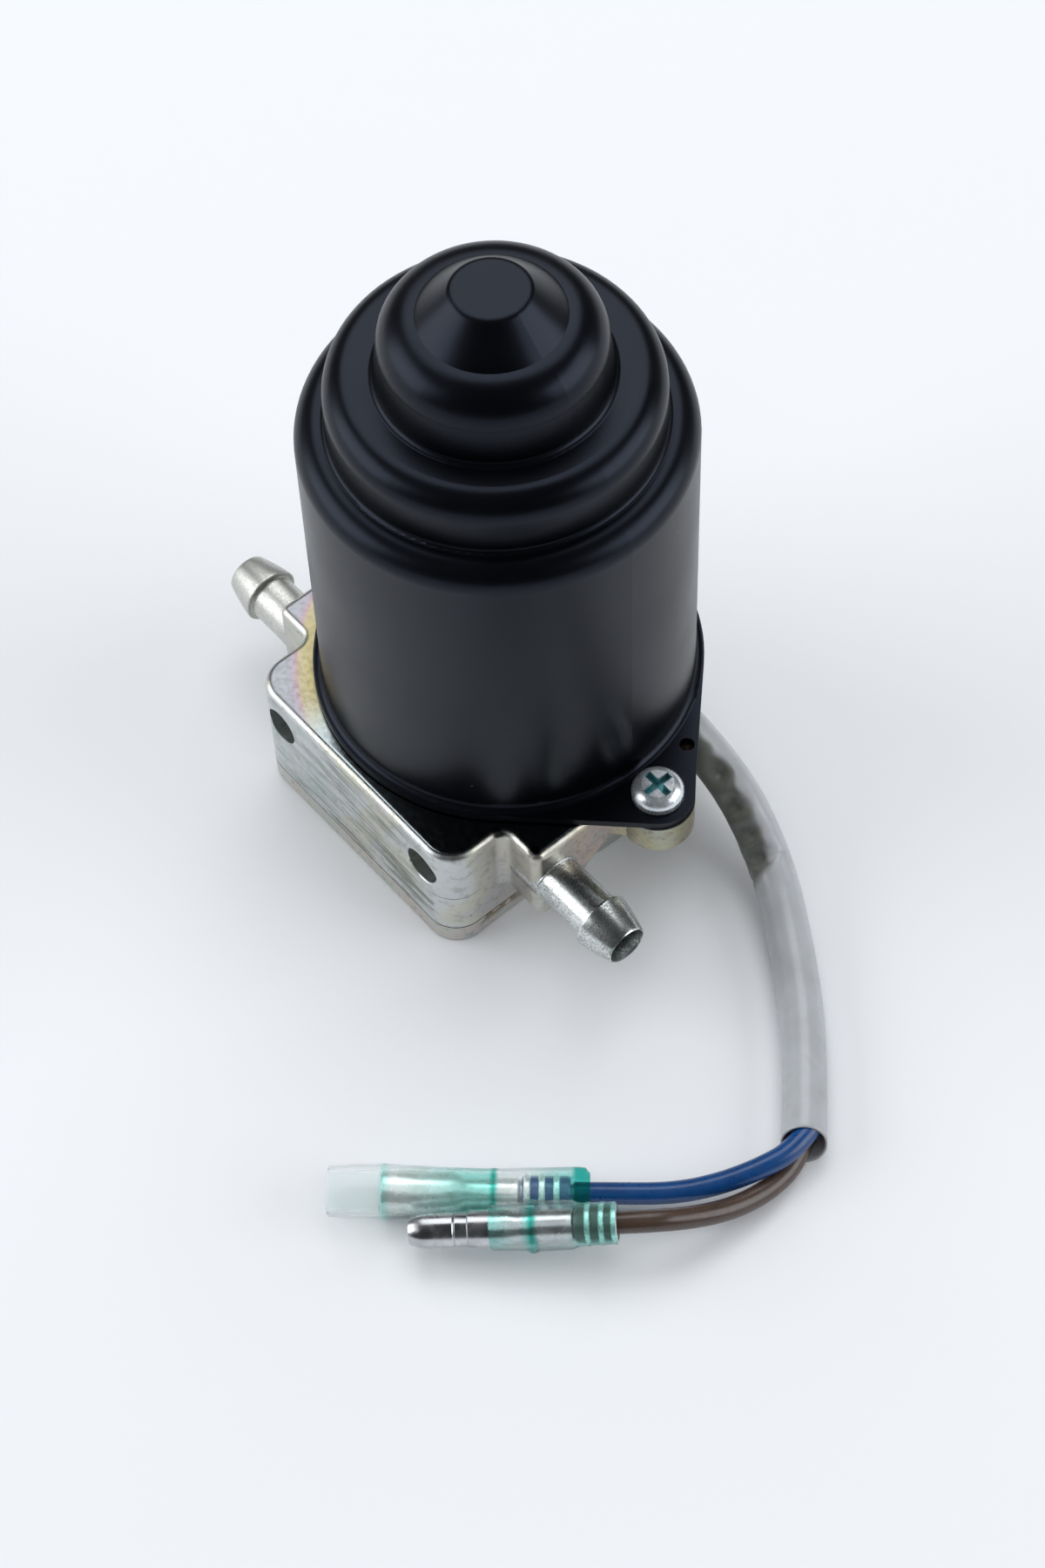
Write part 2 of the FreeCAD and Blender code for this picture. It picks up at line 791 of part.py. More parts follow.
# Nozzle bores and their passages inward
for side, name, radius in ((1, "front", d.front_nozzle_radius), (-1, "back", d.back_nozzle_radius)):
    bore = new_sketch(pump_body, name + "_nozzle_bore", "XY_Plane",
                      offset=d.nozzle_height, across=-d.gear_centres)
    seat = radius + d.press_gap
    draw(bore, [
        (d.passage_end * side, ZERO),
        (d.block_reach * side, ZERO),
        (d.block_reach * side, seat),
        (nozzle_inner_x * side, seat),
        (nozzle_inner_x * side, d.nozzle_bore),
        (d.passage_end * side, d.nozzle_bore),
    ])
    spin(bore, axis="H_Axis", take_away=True)

# Mounting holes in the wall of the pad
mounting_holes = new_sketch(pump_body, "mounting_holes", "XZ_Plane",
                            offset=d.pad_reach - d.mounting_depth)
for side in (1, -1):
    draw_circle(mounting_holes, d.mounting_spacing / 2 * side, d.mounting_height, d.mounting_bore)
cut(mounting_holes, d.mounting_depth)
round_edges(pump_body, "mounting_mouths", d.mounting_chamfer,
            lambda edge: near(edge.BoundBox.YMin, -d.pad_reach.value)
            and near(edge.BoundBox.YMax, -d.pad_reach.value)
            and near(edge.BoundBox.ZLength, 2 * d.mounting_bore.value), kind="Chamfer")

# Cable way: a spot face, a cross hole under the lug plate and a riser to the motor
spot_face = new_sketch(pump_body, "spot_face", "YZ_Plane", offset=d.cable_flat_x)
spot_half = d.grommet_head + d.spot_margin
draw(spot_face, [
    (d.cable_y - spot_half, level_body),
    (d.cable_y + spot_half, level_body),
    (d.cable_y + spot_half, level_lug),
    (d.cable_y - spot_half, level_lug),
])
cut(spot_face, d.lower_radius - d.cable_flat_x)
cable_hole = new_sketch(pump_body, "cable_hole", "YZ_Plane", offset=d.cable_turn_x)
draw_circle(cable_hole, d.cable_y, d.cable_height, d.cable_hole)
cut(cable_hole, d.cable_flat_x - d.cable_turn_x)
riser = new_sketch(pump_body, "riser", offset=d.cable_height - d.riser_hole)
draw_circle(riser, d.cable_turn_x, d.cable_y, d.riser_hole)
cut(riser, level_spigot - d.cable_height + d.riser_hole)

# Screw holes from below, from above and for the brush plate
body_cover_holes = new_sketch(pump_body, "cover_screw_holes", offset=level_body)
for x, y in cover_screw_places:
    draw_circle(body_cover_holes, x, y, d.cover_screw_radius + d.press_gap)
cut(body_cover_holes, d.cover_screw_length - level_body + d.screw_hole_spare)
lug_holes = new_sketch(pump_body, "lug_holes", offset=level_lug)
for side in (1, -1):
    draw_circle(lug_holes, ear_reach * side, ZERO, d.flange_screw_radius + d.press_gap)
cut(lug_holes, d.lug_thickness)
locating_hole = new_sketch(pump_body, "locating_hole", offset=level_joint - d.locating_hole_depth)
draw_circle(locating_hole, locating_hole_x, d.locating_hole_y, d.locating_hole_radius)
cut(locating_hole, d.locating_hole_depth)
plate_screw_holes = new_sketch(pump_body, "plate_screw_holes",
                               offset=level_plate_top - d.plate_screw_length - d.screw_hole_spare)
for side in (1, -1):
    draw_circle(plate_screw_holes, ZERO, plate_screw_y * side,
                d.plate_screw_radius + d.press_gap)
cut(plate_screw_holes, d.plate_screw_length + d.screw_hole_spare - d.plate_thickness)


# Cover and gasket share one outline: the pad's square below, the skirt's round above
def cover_outline():
    shoulder_y = -root(d.lower_radius * d.lower_radius - d.pad_half_width * d.pad_half_width)
    return [
        (ZERO, d.lower_radius, d.lower_radius),
        (-d.pad_half_width, shoulder_y, d.lower_radius),
        (-d.pad_half_width, -(d.pad_reach - d.pad_corner)),
        (-(d.pad_half_width - d.pad_corner), -d.pad_reach, d.pad_corner),
        (d.pad_half_width - d.pad_corner, -d.pad_reach),
        (d.pad_half_width, -(d.pad_reach - d.pad_corner), d.pad_corner),
        (d.pad_half_width, shoulder_y),
    ]


cover_gasket = new_body("cover_gasket")
gasket_outline = new_sketch(cover_gasket, "outline", offset=d.cover_thickness)
draw(gasket_outline, cover_outline())
draw(gasket_outline, close_start(chamber_outline(d.tip_gap)))
for x, y in cover_screw_places:
    draw_circle(gasket_outline, x, y, d.cover_screw_radius + d.screw_gap)
pad(gasket_outline, d.gasket_thickness)

bottom_cover = new_body("bottom_cover")
plate_outline = new_sketch(bottom_cover, "outline")
draw(plate_outline, cover_outline())
pad(plate_outline, d.cover_thickness)
round_edges(bottom_cover, "lower_edge", d.cover_round,
            lambda edge: near(edge.BoundBox.ZMax, 0))
reliefs = new_sketch(bottom_cover, "reliefs", offset=d.cover_thickness - d.relief_depth)
draw_circle(reliefs, ZERO, ZERO, d.shaft_radius + d.relief_gap)
cut(reliefs, d.relief_depth)
pin_seat = new_sketch(bottom_cover, "pin_seat", offset=d.cover_thickness - d.idler_foot)
draw_circle(pin_seat, ZERO, -d.gear_centres, d.idler_radius + d.press_gap)
cut(pin_seat, d.idler_foot)
cover_holes = new_sketch(bottom_cover, "screw_holes")
for x, y in cover_screw_places:
    draw_circle(cover_holes, x, y, d.cover_screw_radius + d.screw_gap)
cut(cover_holes, d.cover_thickness)
countersink_depth = d.cover_screw_head - d.cover_screw_radius
for number, (x, y) in enumerate(cover_screw_places, start=1):
    countersink = bottom_cover.newObject("PartDesign::SubtractiveCone", "countersink_%d" % number)
    countersink.setExpression("Radius1", (d.cover_screw_head + d.screw_gap).text)
    countersink.setExpression("Radius2", (d.cover_screw_radius + d.screw_gap).text)
    countersink.setExpression("Height", countersink_depth.text)
    countersink.AttachmentSupport = [(origin_plane(bottom_cover, "XY_Plane"), "")]
    countersink.MapMode = "FlatFace"
    countersink.setExpression("AttachmentOffset.Base.x", x.text)
    countersink.setExpression("AttachmentOffset.Base.y", y.text)
    doc.recompute()


def cross_recess(body, level):
    """A cross cut into a screw's head from the given level upward."""
    for name, long_x in (("recess_one", True), ("recess_two", False)):
        sketch = new_sketch(body, name, offset=level)
        reach_x = d.recess_arm if long_x else d.recess_half_width
        reach_y = d.recess_half_width if long_x else d.recess_arm
        draw(sketch, [
            (reach_x, -reach_y),
            (reach_x, reach_y),
            (-reach_x, reach_y),
            (-reach_x, -reach_y),
        ])
        cut(sketch, d.recess_depth)


def screw_group(label, pattern, places):
    """One node of equal screws: the pattern screw set at each place."""
    nodes.remove(pattern)
    pattern.Label = label + "_pattern"
    group = doc.addObject("Part::Feature", label)
    group.Label = label
    copies = []
    for x, y in places:
        screw = pattern.Shape.copy()
        screw.translate(Vector(as_size(x).value, as_size(y).value, 0))
        copies.append(screw)
    group.Shape = Part.makeCompound(copies)
    group.Placement = FreeCAD.Placement()
    nodes.append(group)
    return group


# Countersunk screws that hold the cover, heads flush with its underside
cover_screw = turned("cover_screw", [
    (ZERO, ZERO),
    (d.cover_screw_head, ZERO),
    (d.cover_screw_radius, countersink_depth),
    (d.cover_screw_radius, d.cover_screw_length),
    (ZERO, d.cover_screw_length),
])
cross_recess(cover_screw, ZERO)
screw_group("cover_screws", cover_screw, cover_screw_places)

# Pan head screws through the can's ears into the lugs
flange_screw = turned("flange_screw", [
    (ZERO, level_flange_top - d.flange_screw_length),
    (d.flange_screw_radius, level_flange_top - d.flange_screw_length),
    (d.flange_screw_radius, level_flange_top),
    (d.screw_head_radius, level_flange_top),
    (d.screw_head_radius, level_flange_top + d.screw_head_rim),
    (d.screw_head_crown, level_flange_top + d.screw_head_height, d.screw_head_bulge),
    (ZERO, level_flange_top + d.screw_head_height),
])
cross_recess(flange_screw, level_flange_top + d.screw_head_height - d.recess_depth)
screw_group("flange_screws", flange_screw, [(ear_reach, ZERO), (-ear_reach, ZERO)])

# Hose nozzles: steel spigots with one barb, pressed into the blocks
for side, name, radius, stem, barb in (
        (1, "front_hose_nozzle", d.front_nozzle_radius, d.front_nozzle_stem, d.front_barb_radius),
        (-1, "back_hose_nozzle", d.back_nozzle_radius, d.back_nozzle_stem, d.back_barb_radius)):
    barb_x = d.block_reach + stem
    cone_x = barb_x + d.barb_width
    end_x = cone_x + d.barb_cone
    nozzle = new_body(name)
    section = new_sketch(nozzle, "section", "XY_Plane",
                         offset=d.nozzle_height, across=-d.gear_centres)
    draw(section, [
        (nozzle_inner_x * side, d.nozzle_bore),
        (end_x * side, d.nozzle_bore),
        (end_x * side, d.barb_tip_radius),
        (cone_x * side, barb, d.barb_bulge * side),
        ((barb_x + d.barb_chamfer) * side, barb),
        (barb_x * side, barb - d.barb_chamfer),
        (barb_x * side, radius),
        (nozzle_inner_x * side, radius),
    ])
    spin(section, axis="H_Axis")


# Gears: involute flanks, so that the driven gear follows at a steady rate
def involute_point(base_radius, radius, turn):
    """A point of the involute of the base circle, turned so that it meets its tooth's middle."""
    slope = math.acos(min(base_radius / radius, 1))
    angle = turn - (math.tan(slope) - slope)
    return radius, angle


def gear_shape(centre, bore, turn, keyway):
    """A spur gear with its own bore; turn is the angle of one tooth's middle in degrees."""
    teeth = int(round(d.gear_teeth.value))
    pitch = pitch_radius.value
    slope = math.radians(d.pressure_angle.value)
    base_radius = pitch * math.cos(slope)
    tip = tip_radius.value
    foot = pitch - d.tooth_root.value
    half_tooth = math.pi / (2 * teeth) - d.tooth_backlash.value / (4 * pitch)
    flank_turn = half_tooth + math.tan(slope) - slope
    start = max(base_radius, foot)
    radii = [start + (tip - start) * step / 4 for step in range(5)]

    def place(radius, angle):
        return Vector(radius * math.cos(angle), radius * math.sin(angle), 0)

    edges = []
    for tooth in range(teeth):
        middle = math.radians(turn) + tooth * 2 * math.pi / teeth
        polar = [involute_point(base_radius, radius, flank_turn) for radius in radii]
        right = [place(radius, middle - angle) for radius, angle in polar]
        left = [place(radius, middle + angle) for radius, angle in reversed(polar)]
        root_right = place(foot, middle - polar[0][1])
        root_left = place(foot, middle + polar[0][1])
        next_right = place(foot, middle + 2 * math.pi / teeth - polar[0][1])
        if foot < start:
            edges.append(Part.makeLine(root_right, right[0]))
        flank_right = Part.BSplineCurve()
        flank_right.interpolate(right)
        edges.append(flank_right.toShape())
        edges.append(Part.Arc(right[-1], place(tip, middle), left[0]).toShape())
        flank_left = Part.BSplineCurve()
        flank_left.interpolate(left)
        edges.append(flank_left.toShape())
        if foot < start:
            edges.append(Part.makeLine(left[-1], root_left))
        valley = place(foot, middle + math.pi / teeth)
        edges.append(Part.Arc(root_left, valley, next_right).toShape())
    outline = Part.Wire(edges)
    gear = Part.Face(outline).extrude(Vector(0, 0, d.gear_width.value))
    gear = gear.cut(Part.makeCylinder(bore, d.gear_width.value))
    if keyway:
        half = d.key_side.value / 2 + d.press_gap.value
        reach = d.shaft_radius.value + half
        gear = gear.cut(Part.makeBox(reach, 2 * half, d.gear_width.value, Vector(0, -half, 0)))
    gear.translate(centre)
    return gear


gear_base = level_body.value + (d.chamber_depth.value - d.gear_width.value) / 2
half_pitch_angle = 180 / d.gear_teeth.value
drive_gear = doc.addObject("Part::Feature", "drive_gear")
drive_gear.Label = "drive_gear"
drive_gear.Shape = gear_shape(Vector(0, 0, gear_base), d.shaft_radius.value + d.press_gap.value,
                              -90, True)
nodes.append(drive_gear)
driven_gear = doc.addObject("Part::Feature", "driven_gear")
driven_gear.Label = "driven_gear"
driven_gear.Shape = gear_shape(Vector(0, -d.gear_centres.value, gear_base),
                               d.idler_radius.value + d.running_gap.value,
                               90 + half_pitch_angle, False)
nodes.append(driven_gear)

turned("idler_pin", [
    (ZERO, d.cover_thickness - d.idler_foot),
    (d.idler_radius, d.cover_thickness - d.idler_foot),
    (d.idler_radius, level_roof + d.idler_head - d.idler_chamfer),
    (d.idler_radius - d.idler_chamfer, level_roof + d.idler_head),
    (ZERO, level_roof + d.idler_head),
], y=-d.gear_centres)

# Key between the shaft and the drive gear
key_base = level_body + (d.chamber_depth - d.key_length) / 2
drive_key = doc.addObject("Part::Box", "drive_key")
drive_key.Label = "drive_key"
drive_key.setExpression("Length", d.key_side.text)
drive_key.setExpression("Width", d.key_side.text)
drive_key.setExpression("Height", d.key_length.text)
drive_key.setExpression("Placement.Base.x", (d.shaft_radius - d.key_side / 2).text)
drive_key.setExpression("Placement.Base.y", (-d.key_side / 2).text)
drive_key.setExpression("Placement.Base.z", key_base.text)
nodes.append(drive_key)

turned("lower_bush", tube_section(d.shaft_radius + d.running_gap, d.lower_bush_radius,
                                  level_roof, seal_base))
seal_top = seal_base + d.seal_height
turned("shaft_seal", [
    (d.shaft_radius + d.running_gap, seal_base),
    (d.seal_radius, seal_base),
    (d.seal_radius, seal_top),
    (d.seal_radius - d.seal_wall, seal_top),
    (d.seal_radius - d.seal_wall, seal_base + d.seal_floor),
    (d.shaft_radius + d.seal_wall, seal_base + d.seal_floor),
    (d.shaft_radius + d.seal_lip, seal_top - d.seal_lip / 2),
    (d.shaft_radius + d.running_gap, seal_top - d.seal_lip),
])

# Armature shaft with a keyway and a cup for the thrust ball
level_ball = level_top - d.ball_drop
shaft_top = level_ball - d.ball_seat_rim
seat_radius = d.ball_radius + d.ball_seat_gap
seat_rim_x = root(seat_radius * seat_radius - d.ball_seat_rim * d.ball_seat_rim)
armature_shaft = turned("armature_shaft", [
    (ZERO, d.shaft_tail),
    (d.shaft_radius - d.shaft_chamfer, d.shaft_tail),
    (d.shaft_radius, d.shaft_tail + d.shaft_chamfer),
    (d.shaft_radius, shaft_top - d.shaft_chamfer),
    (d.shaft_radius - d.shaft_chamfer, shaft_top),
    (seat_rim_x, shaft_top),
    (ZERO, level_ball - seat_radius, -seat_radius),
])
keyway = new_sketch(armature_shaft, "keyway", offset=key_base - d.press_gap)
keyway_half = d.key_side / 2 + d.press_gap
draw(keyway, [
    (d.shaft_radius - keyway_half, -keyway_half),
    (d.shaft_radius + keyway_half, -keyway_half),
    (d.shaft_radius + keyway_half, keyway_half),
    (d.shaft_radius - keyway_half, keyway_half),
])
cut(keyway, d.key_length + d.press_gap * 2)

turned("thrust_ball", [
    (ZERO, level_ball - d.ball_radius),
    (d.ball_radius, level_ball, d.ball_radius),
    (ZERO, level_ball + d.ball_radius, d.ball_radius),
])

# Self-aligning upper bush in the nub, and the star washer that holds it
bush_rim_x = root(d.upper_bush_radius * d.upper_bush_radius
                  - d.upper_bush_half_height * d.upper_bush_half_height)
turned("upper_bush", [
    (d.shaft_radius + d.running_gap, level_bush - d.upper_bush_half_height),
    (bush_rim_x, level_bush - d.upper_bush_half_height),
    (bush_rim_x, level_bush + d.upper_bush_half_height, d.upper_bush_radius),
    (d.shaft_radius + d.running_gap, level_bush + d.upper_bush_half_height),
])
level_retainer = level_top - d.retainer_drop
bush_retainer = turned("bush_retainer", tube_section(d.retainer_hole, d.retainer_radius,
                                                     level_retainer,
                                                     level_retainer + d.retainer_thickness))
notch = new_sketch(bush_retainer, "notch", offset=level_retainer)
notch_half = d.retainer_notch_half_width
notch_end = d.retainer_hole + d.retainer_notch_depth
draw(notch, [
    (d.retainer_hole - 1, -notch_half),
    (notch_end, -notch_half),
    (notch_end, notch_half),
    (d.retainer_hole - 1, notch_half),
])
repeat_round(cut(notch, d.retainer_thickness), d.retainer_notch_count)

# Armature core: a stack of slotted laminations
armature_core = turned("armature_core", tube_section(d.shaft_radius + d.press_gap, core_radius,
                                                     d.core_base, d.core_base + d.core_length))
slot_top = core_radius - d.slot_lip
core_slot = new_sketch(armature_core, "slot", offset=d.core_base)
draw(core_slot, [
    (d.slot_floor, -d.slot_half_width),
    (slot_top, -d.slot_half_width),
    (slot_top, -d.slot_mouth_half_width),
    (core_radius + 1, -d.slot_mouth_half_width),
    (core_radius + 1, d.slot_mouth_half_width),
    (slot_top, d.slot_mouth_half_width),
    (slot_top, d.slot_half_width),
    (d.slot_floor, d.slot_half_width),
])
repeat_round(cut(core_slot, d.core_length), d.slot_count)

# Winding: copper coils that fill the slots and turn over at both ends of the core
coil_gap = d.winding_gap
low_top = d.core_base - coil_gap
low_base = low_top - d.winding_height
high_base = d.core_base + d.core_length + coil_gap
high_top = high_base + d.winding_height
winding_hole = d.hub_radius + d.winding_clearance
armature_winding = new_body("armature_winding")
low_coil = new_sketch(armature_winding, "low_end", "XZ_Plane")
draw(low_coil, [
    (winding_hole, low_base + d.winding_chamfer),
    (winding_hole + d.winding_chamfer, low_base),
    (winding_radius - d.winding_round, low_base),
    (winding_radius, low_base + d.winding_round, d.winding_round),
    (winding_radius, low_top),
    (winding_hole, low_top),
])
spin(low_coil)
coil_bar = new_sketch(armature_winding, "coil_bar", offset=low_top - d.coil_overlap)
bar_half = d.slot_half_width - coil_gap
draw(coil_bar, [
    (d.slot_floor + coil_gap, -bar_half),
    (winding_radius - d.coil_inset, -bar_half),
    (winding_radius - d.coil_inset, bar_half),
    (d.slot_floor + coil_gap, bar_half),
])
repeat_round(pad(coil_bar, d.core_length + (coil_gap + d.coil_overlap) * 2), d.slot_count)
high_coil = new_sketch(armature_winding, "high_end", "XZ_Plane")
draw(high_coil, [
    (d.shaft_radius + d.winding_foot_gap, high_base),
    (winding_radius, high_base),
    (winding_radius, high_top - d.winding_round),
    (winding_radius - d.winding_round, high_top, d.winding_round),
    (winding_hole, high_top),
    (d.shaft_radius + d.winding_foot_gap, high_top - d.winding_chamfer),
])
spin(high_coil)

# Commutator: a moulded hub with a ring of copper bars and their risers
turned("commutator_hub", tube_section(d.shaft_radius + d.press_gap, d.hub_radius,
                                      d.hub_base, d.hub_top))
ring_top = d.hub_top - d.ring_inset
ring_base = ring_top - d.commutator_length
commutator = turned("commutator", [
    (d.hub_radius + d.press_gap, ring_base),
    (d.commutator_radius, ring_base),
    (d.commutator_radius, ring_top - d.riser_length),
    (d.riser_radius, ring_top - d.riser_length),
    (d.riser_radius, ring_top),
    (d.hub_radius + d.press_gap, ring_top),
])
bar_slot = new_sketch(commutator, "bar_slot", offset=ring_base)
draw(bar_slot, [
    (d.commutator_radius - d.bar_gap_depth, -d.bar_gap / 2),
    (d.riser_radius + 1, -d.bar_gap / 2),
    (d.riser_radius + 1, d.bar_gap / 2),
    (d.commutator_radius - d.bar_gap_depth, d.bar_gap / 2),
])
repeat_round(cut(bar_slot, d.commutator_length), d.slot_count)


# Field magnets and the clips that wedge them apart, all against the can's inside
def curved_bar(label, inner, outer, half_angle, low, height, quarter_turns):
    """A bar bent round the motor's axis, facing +X turned by so many quarter turns."""
    body = new_body(label)
    sketch = new_sketch(body, "outline", offset=low)
    corners = [
        (outer * cosine(half_angle), -outer * sine(half_angle)),
        (outer * cosine(half_angle), outer * sine(half_angle), outer),
        (inner * cosine(half_angle), inner * sine(half_angle)),
        (inner * cosine(half_angle), -inner * sine(half_angle), -inner),
    ]
    for turn in range(quarter_turns):
        corners = [(-corner[1], corner[0]) + tuple(corner[2:]) for corner in corners]
    draw(sketch, corners)
    pad(sketch, height)
    return body


magnet_base = d.core_base - d.magnet_overhang
magnet_length = d.core_length + d.magnet_overhang * 2
curved_bar("right_magnet", magnet_inner, magnet_outer, d.magnet_half_angle,
           magnet_base, magnet_length, 0)
curved_bar("left_magnet", magnet_inner, magnet_outer, d.magnet_half_angle,
           magnet_base, magnet_length, 2)
clip_inner = magnet_outer - d.clip_thickness
curved_bar("back_magnet_clip", clip_inner, magnet_outer, d.clip_half_angle,
           d.core_base, d.core_length, 1)
curved_bar("front_magnet_clip", clip_inner, magnet_outer, d.clip_half_angle,
           d.core_base, d.core_length, 3)

# Brush plate on the body's spigot, with its screws, boxes, brushes, springs and tabs
brush_plate = new_body("brush_plate")
plate = new_sketch(brush_plate, "outline", offset=level_spigot)
draw_circle(plate, ZERO, ZERO, plate_radius)
draw_circle(plate, ZERO, ZERO, d.plate_hole)
draw_circle(plate, d.cable_turn_x, d.cable_y, d.plate_notch)
for side in (1, -1):
    draw_circle(plate, ZERO, plate_screw_y * side, d.plate_screw_radius + d.screw_gap)
pad(plate, d.plate_thickness)

plate_screw = turned("plate_screw", [
    (ZERO, level_plate_top - d.plate_screw_length),
    (d.plate_screw_radius, level_plate_top - d.plate_screw_length),
    (d.plate_screw_radius, level_plate_top),
    (d.plate_screw_head, level_plate_top),
    (d.plate_screw_head, level_plate_top + d.plate_screw_rim),
    (d.plate_screw_crown, level_plate_top + d.plate_screw_head_height),
    (ZERO, level_plate_top + d.plate_screw_head_height),
])
screw_group("brush_plate_screws", plate_screw, [(ZERO, plate_screw_y), (ZERO, -plate_screw_y)])

box_inside = d.box_half_width - d.box_wall
brush_half = box_inside - d.brush_gap
channel_low = level_plate_top + d.box_wall
channel_high = level_plate_top + d.box_height - d.box_wall
channel_middle = level_plate_top + d.box_height / 2
for side, name in ((1, "right"), (-1, "left")):
    brush_box = new_body(name + "_brush_box")
    box_outline = new_sketch(brush_box, "outline", "YZ_Plane",
                             offset=d.box_inner_x if side > 0 else -d.box_outer_x)
    draw(box_outline, [
        (-d.box_half_width, level_plate_top),
        (d.box_half_width, level_plate_top),
        (d.box_half_width, level_plate_top + d.box_height),
        (-d.box_half_width, level_plate_top + d.box_height),
    ])
    pad(box_outline, d.box_outer_x - d.box_inner_x)
    channel = new_sketch(brush_box, "channel", "YZ_Plane",
                         offset=d.box_inner_x if side > 0 else d.box_wall - d.box_outer_x)
    draw(channel, [
        (-box_inside, channel_low),
        (box_inside, channel_low),
        (box_inside, channel_high),
        (-box_inside, channel_high),
    ])
    cut(channel, d.box_outer_x - d.box_inner_x - d.box_wall)

    brush = new_body(name + "_brush")
    face_radius = d.commutator_radius + d.brush_face_gap
    face_x = root(face_radius * face_radius - brush_half * brush_half) * side
    brush_outline = new_sketch(brush, "outline", offset=channel_low + d.brush_gap)
    draw(brush_outline, [
        (face_x, -brush_half, -face_radius * side),
        (d.brush_back_x * side, -brush_half),
        (d.brush_back_x * side, brush_half),
        (face_x, brush_half),
    ])
    pad(brush_outline, channel_high - channel_low - d.brush_gap * 2)

    spring_space = d.box_outer_x.value - d.box_wall.value - d.brush_back_x.value
    wire_radius = d.spring_wire.value
    climb = spring_space - 2 * (wire_radius + d.spring_end_gap.value)
    helix = Part.makeHelix(climb / d.spring_turns.value, climb, d.spring_radius.value)
    sides = int(round(d.spring_wire_sides.value))
    around = [2 * math.pi * side_number / sides for side_number in range(sides + 1)]
    wire_section = Part.makePolygon([
        Vector(d.spring_radius.value + wire_radius * math.cos(angle), 0,
               wire_radius * math.sin(angle)) for angle in around])
    coil = Part.Wire(helix.Edges).makePipeShell([wire_section], True, True)
    spring = doc.addObject("Part::Feature", name + "_brush_spring")
    spring.Label = name + "_brush_spring"
    spring.Shape = coil
    spring_start = d.brush_back_x.value + wire_radius + d.spring_end_gap.value
    spring.Placement = FreeCAD.Placement(
        Vector(spring_start * side, 0, channel_middle.value),
        FreeCAD.Rotation(Vector(0, 1, 0), 90 * side))
    nodes.append(spring)

    tab = new_body(name + "_brush_terminal")
    tab_start = d.box_half_width + d.tab_gap
    tab_outline = new_sketch(tab, "outline", "YZ_Plane",
                             offset=d.tab_inner_x if side > 0 else -d.tab_outer_x)
    draw(tab_outline, [
        (tab_start, level_plate_top),
        (tab_start + d.tab_depth, level_plate_top),
        (tab_start + d.tab_depth, level_plate_top + d.tab_thickness),
        (tab_start + d.tab_thickness, level_plate_top + d.tab_thickness),
        (tab_start + d.tab_thickness, channel_high),
        (tab_start, channel_high),
    ])
    pad(tab_outline, d.tab_outer_x - d.tab_inner_x)


# Cords: straight runs joined by arcs that touch both runs
def cord_path(name, points, tight):
    """The wire of a cord's middle line. Prints each bend's radius in cord diameters."""
    points = [Vector(*point) for point in points]
    radii = []
    edges = []
    here = points[0]
    for index in range(1, len(points) - 1):
        corner = points[index]
        into = corner - points[index - 1]
        out = points[index + 1] - corner
        shorter = min(into.Length, out.Length)
        half_turn = into.getAngle(out) / 2
        setback = 0.45 * shorter
        radius = setback / math.tan(half_turn)
        into.normalize()
        out.normalize()
        begin = corner - into * setback
        end = corner + out * setback
        inward = out - into
        inward.normalize()
        middle = corner + inward * radius * (1 / math.cos(half_turn) - 1)
        edges.append(Part.LineSegment(here, begin).toShape())
        edges.append(Part.Arc(begin, middle, end).toShape())
        here = end
        radii.append(radius)
    edges.append(Part.LineSegment(here, points[-1]).toShape())
    print(name, "bend radii", [round(radius, 1) for radius in radii],
          "smallest is", round(min(radii) / (2 * tight), 1), "diameters")
    return Part.Wire(edges)


def cord_solid(label, points, radius):
    """A cord as a round tube along its path, and its volume against section times length."""
    path = cord_path(label, points, radius)
    start = Vector(*points[0])
    heading = Vector(*points[1]) - start
    section = Part.Wire(Part.Circle(start, heading, radius).toShape())
    solid = path.makePipeShell([section], True, False)
    wanted = math.pi * radius ** 2 * path.Length
    print(label, "length", round(path.Length, 1), "volume ratio", round(solid.Volume / wanted, 4))
    cord = doc.addObject("Part::Feature", label)
    cord.Label = label
    cord.Shape = solid
    nodes.append(cord)
    return cord


# Grommet in the spot face: the cable sleeve ends in its recess, the two leads run on through it
grommet_out = d.cable_flat_x + d.grommet_head_length
grommet_in = d.cable_flat_x - d.grommet_neck_length
recess_floor = grommet_out - d.grommet_recess
cable_grommet = new_body("cable_grommet")
grommet_section = new_sketch(cable_grommet, "section", "XY_Plane",
                             offset=d.cable_height, across=d.cable_y)
draw(grommet_section, [
    (grommet_in, ZERO),
    (recess_floor, ZERO),
    (recess_floor, d.sleeve_radius + d.press_gap),
    (grommet_out, d.sleeve_radius + d.press_gap),
    (grommet_out, d.grommet_head),
    (d.cable_flat_x, d.grommet_head),
    (d.cable_flat_x, d.cable_hole - d.press_gap),
    (grommet_in, d.cable_hole - d.press_gap),
])
spin(grommet_section, axis="H_Axis")
lead_ways = new_sketch(cable_grommet, "lead_ways", "YZ_Plane", offset=grommet_in)
for side in (1, -1):
    draw_circle(lead_ways, d.cable_y + d.lead_pitch / 2 * side, d.cable_height,
                d.lead_radius + d.press_gap)
cut(lead_ways, recess_floor - grommet_in)

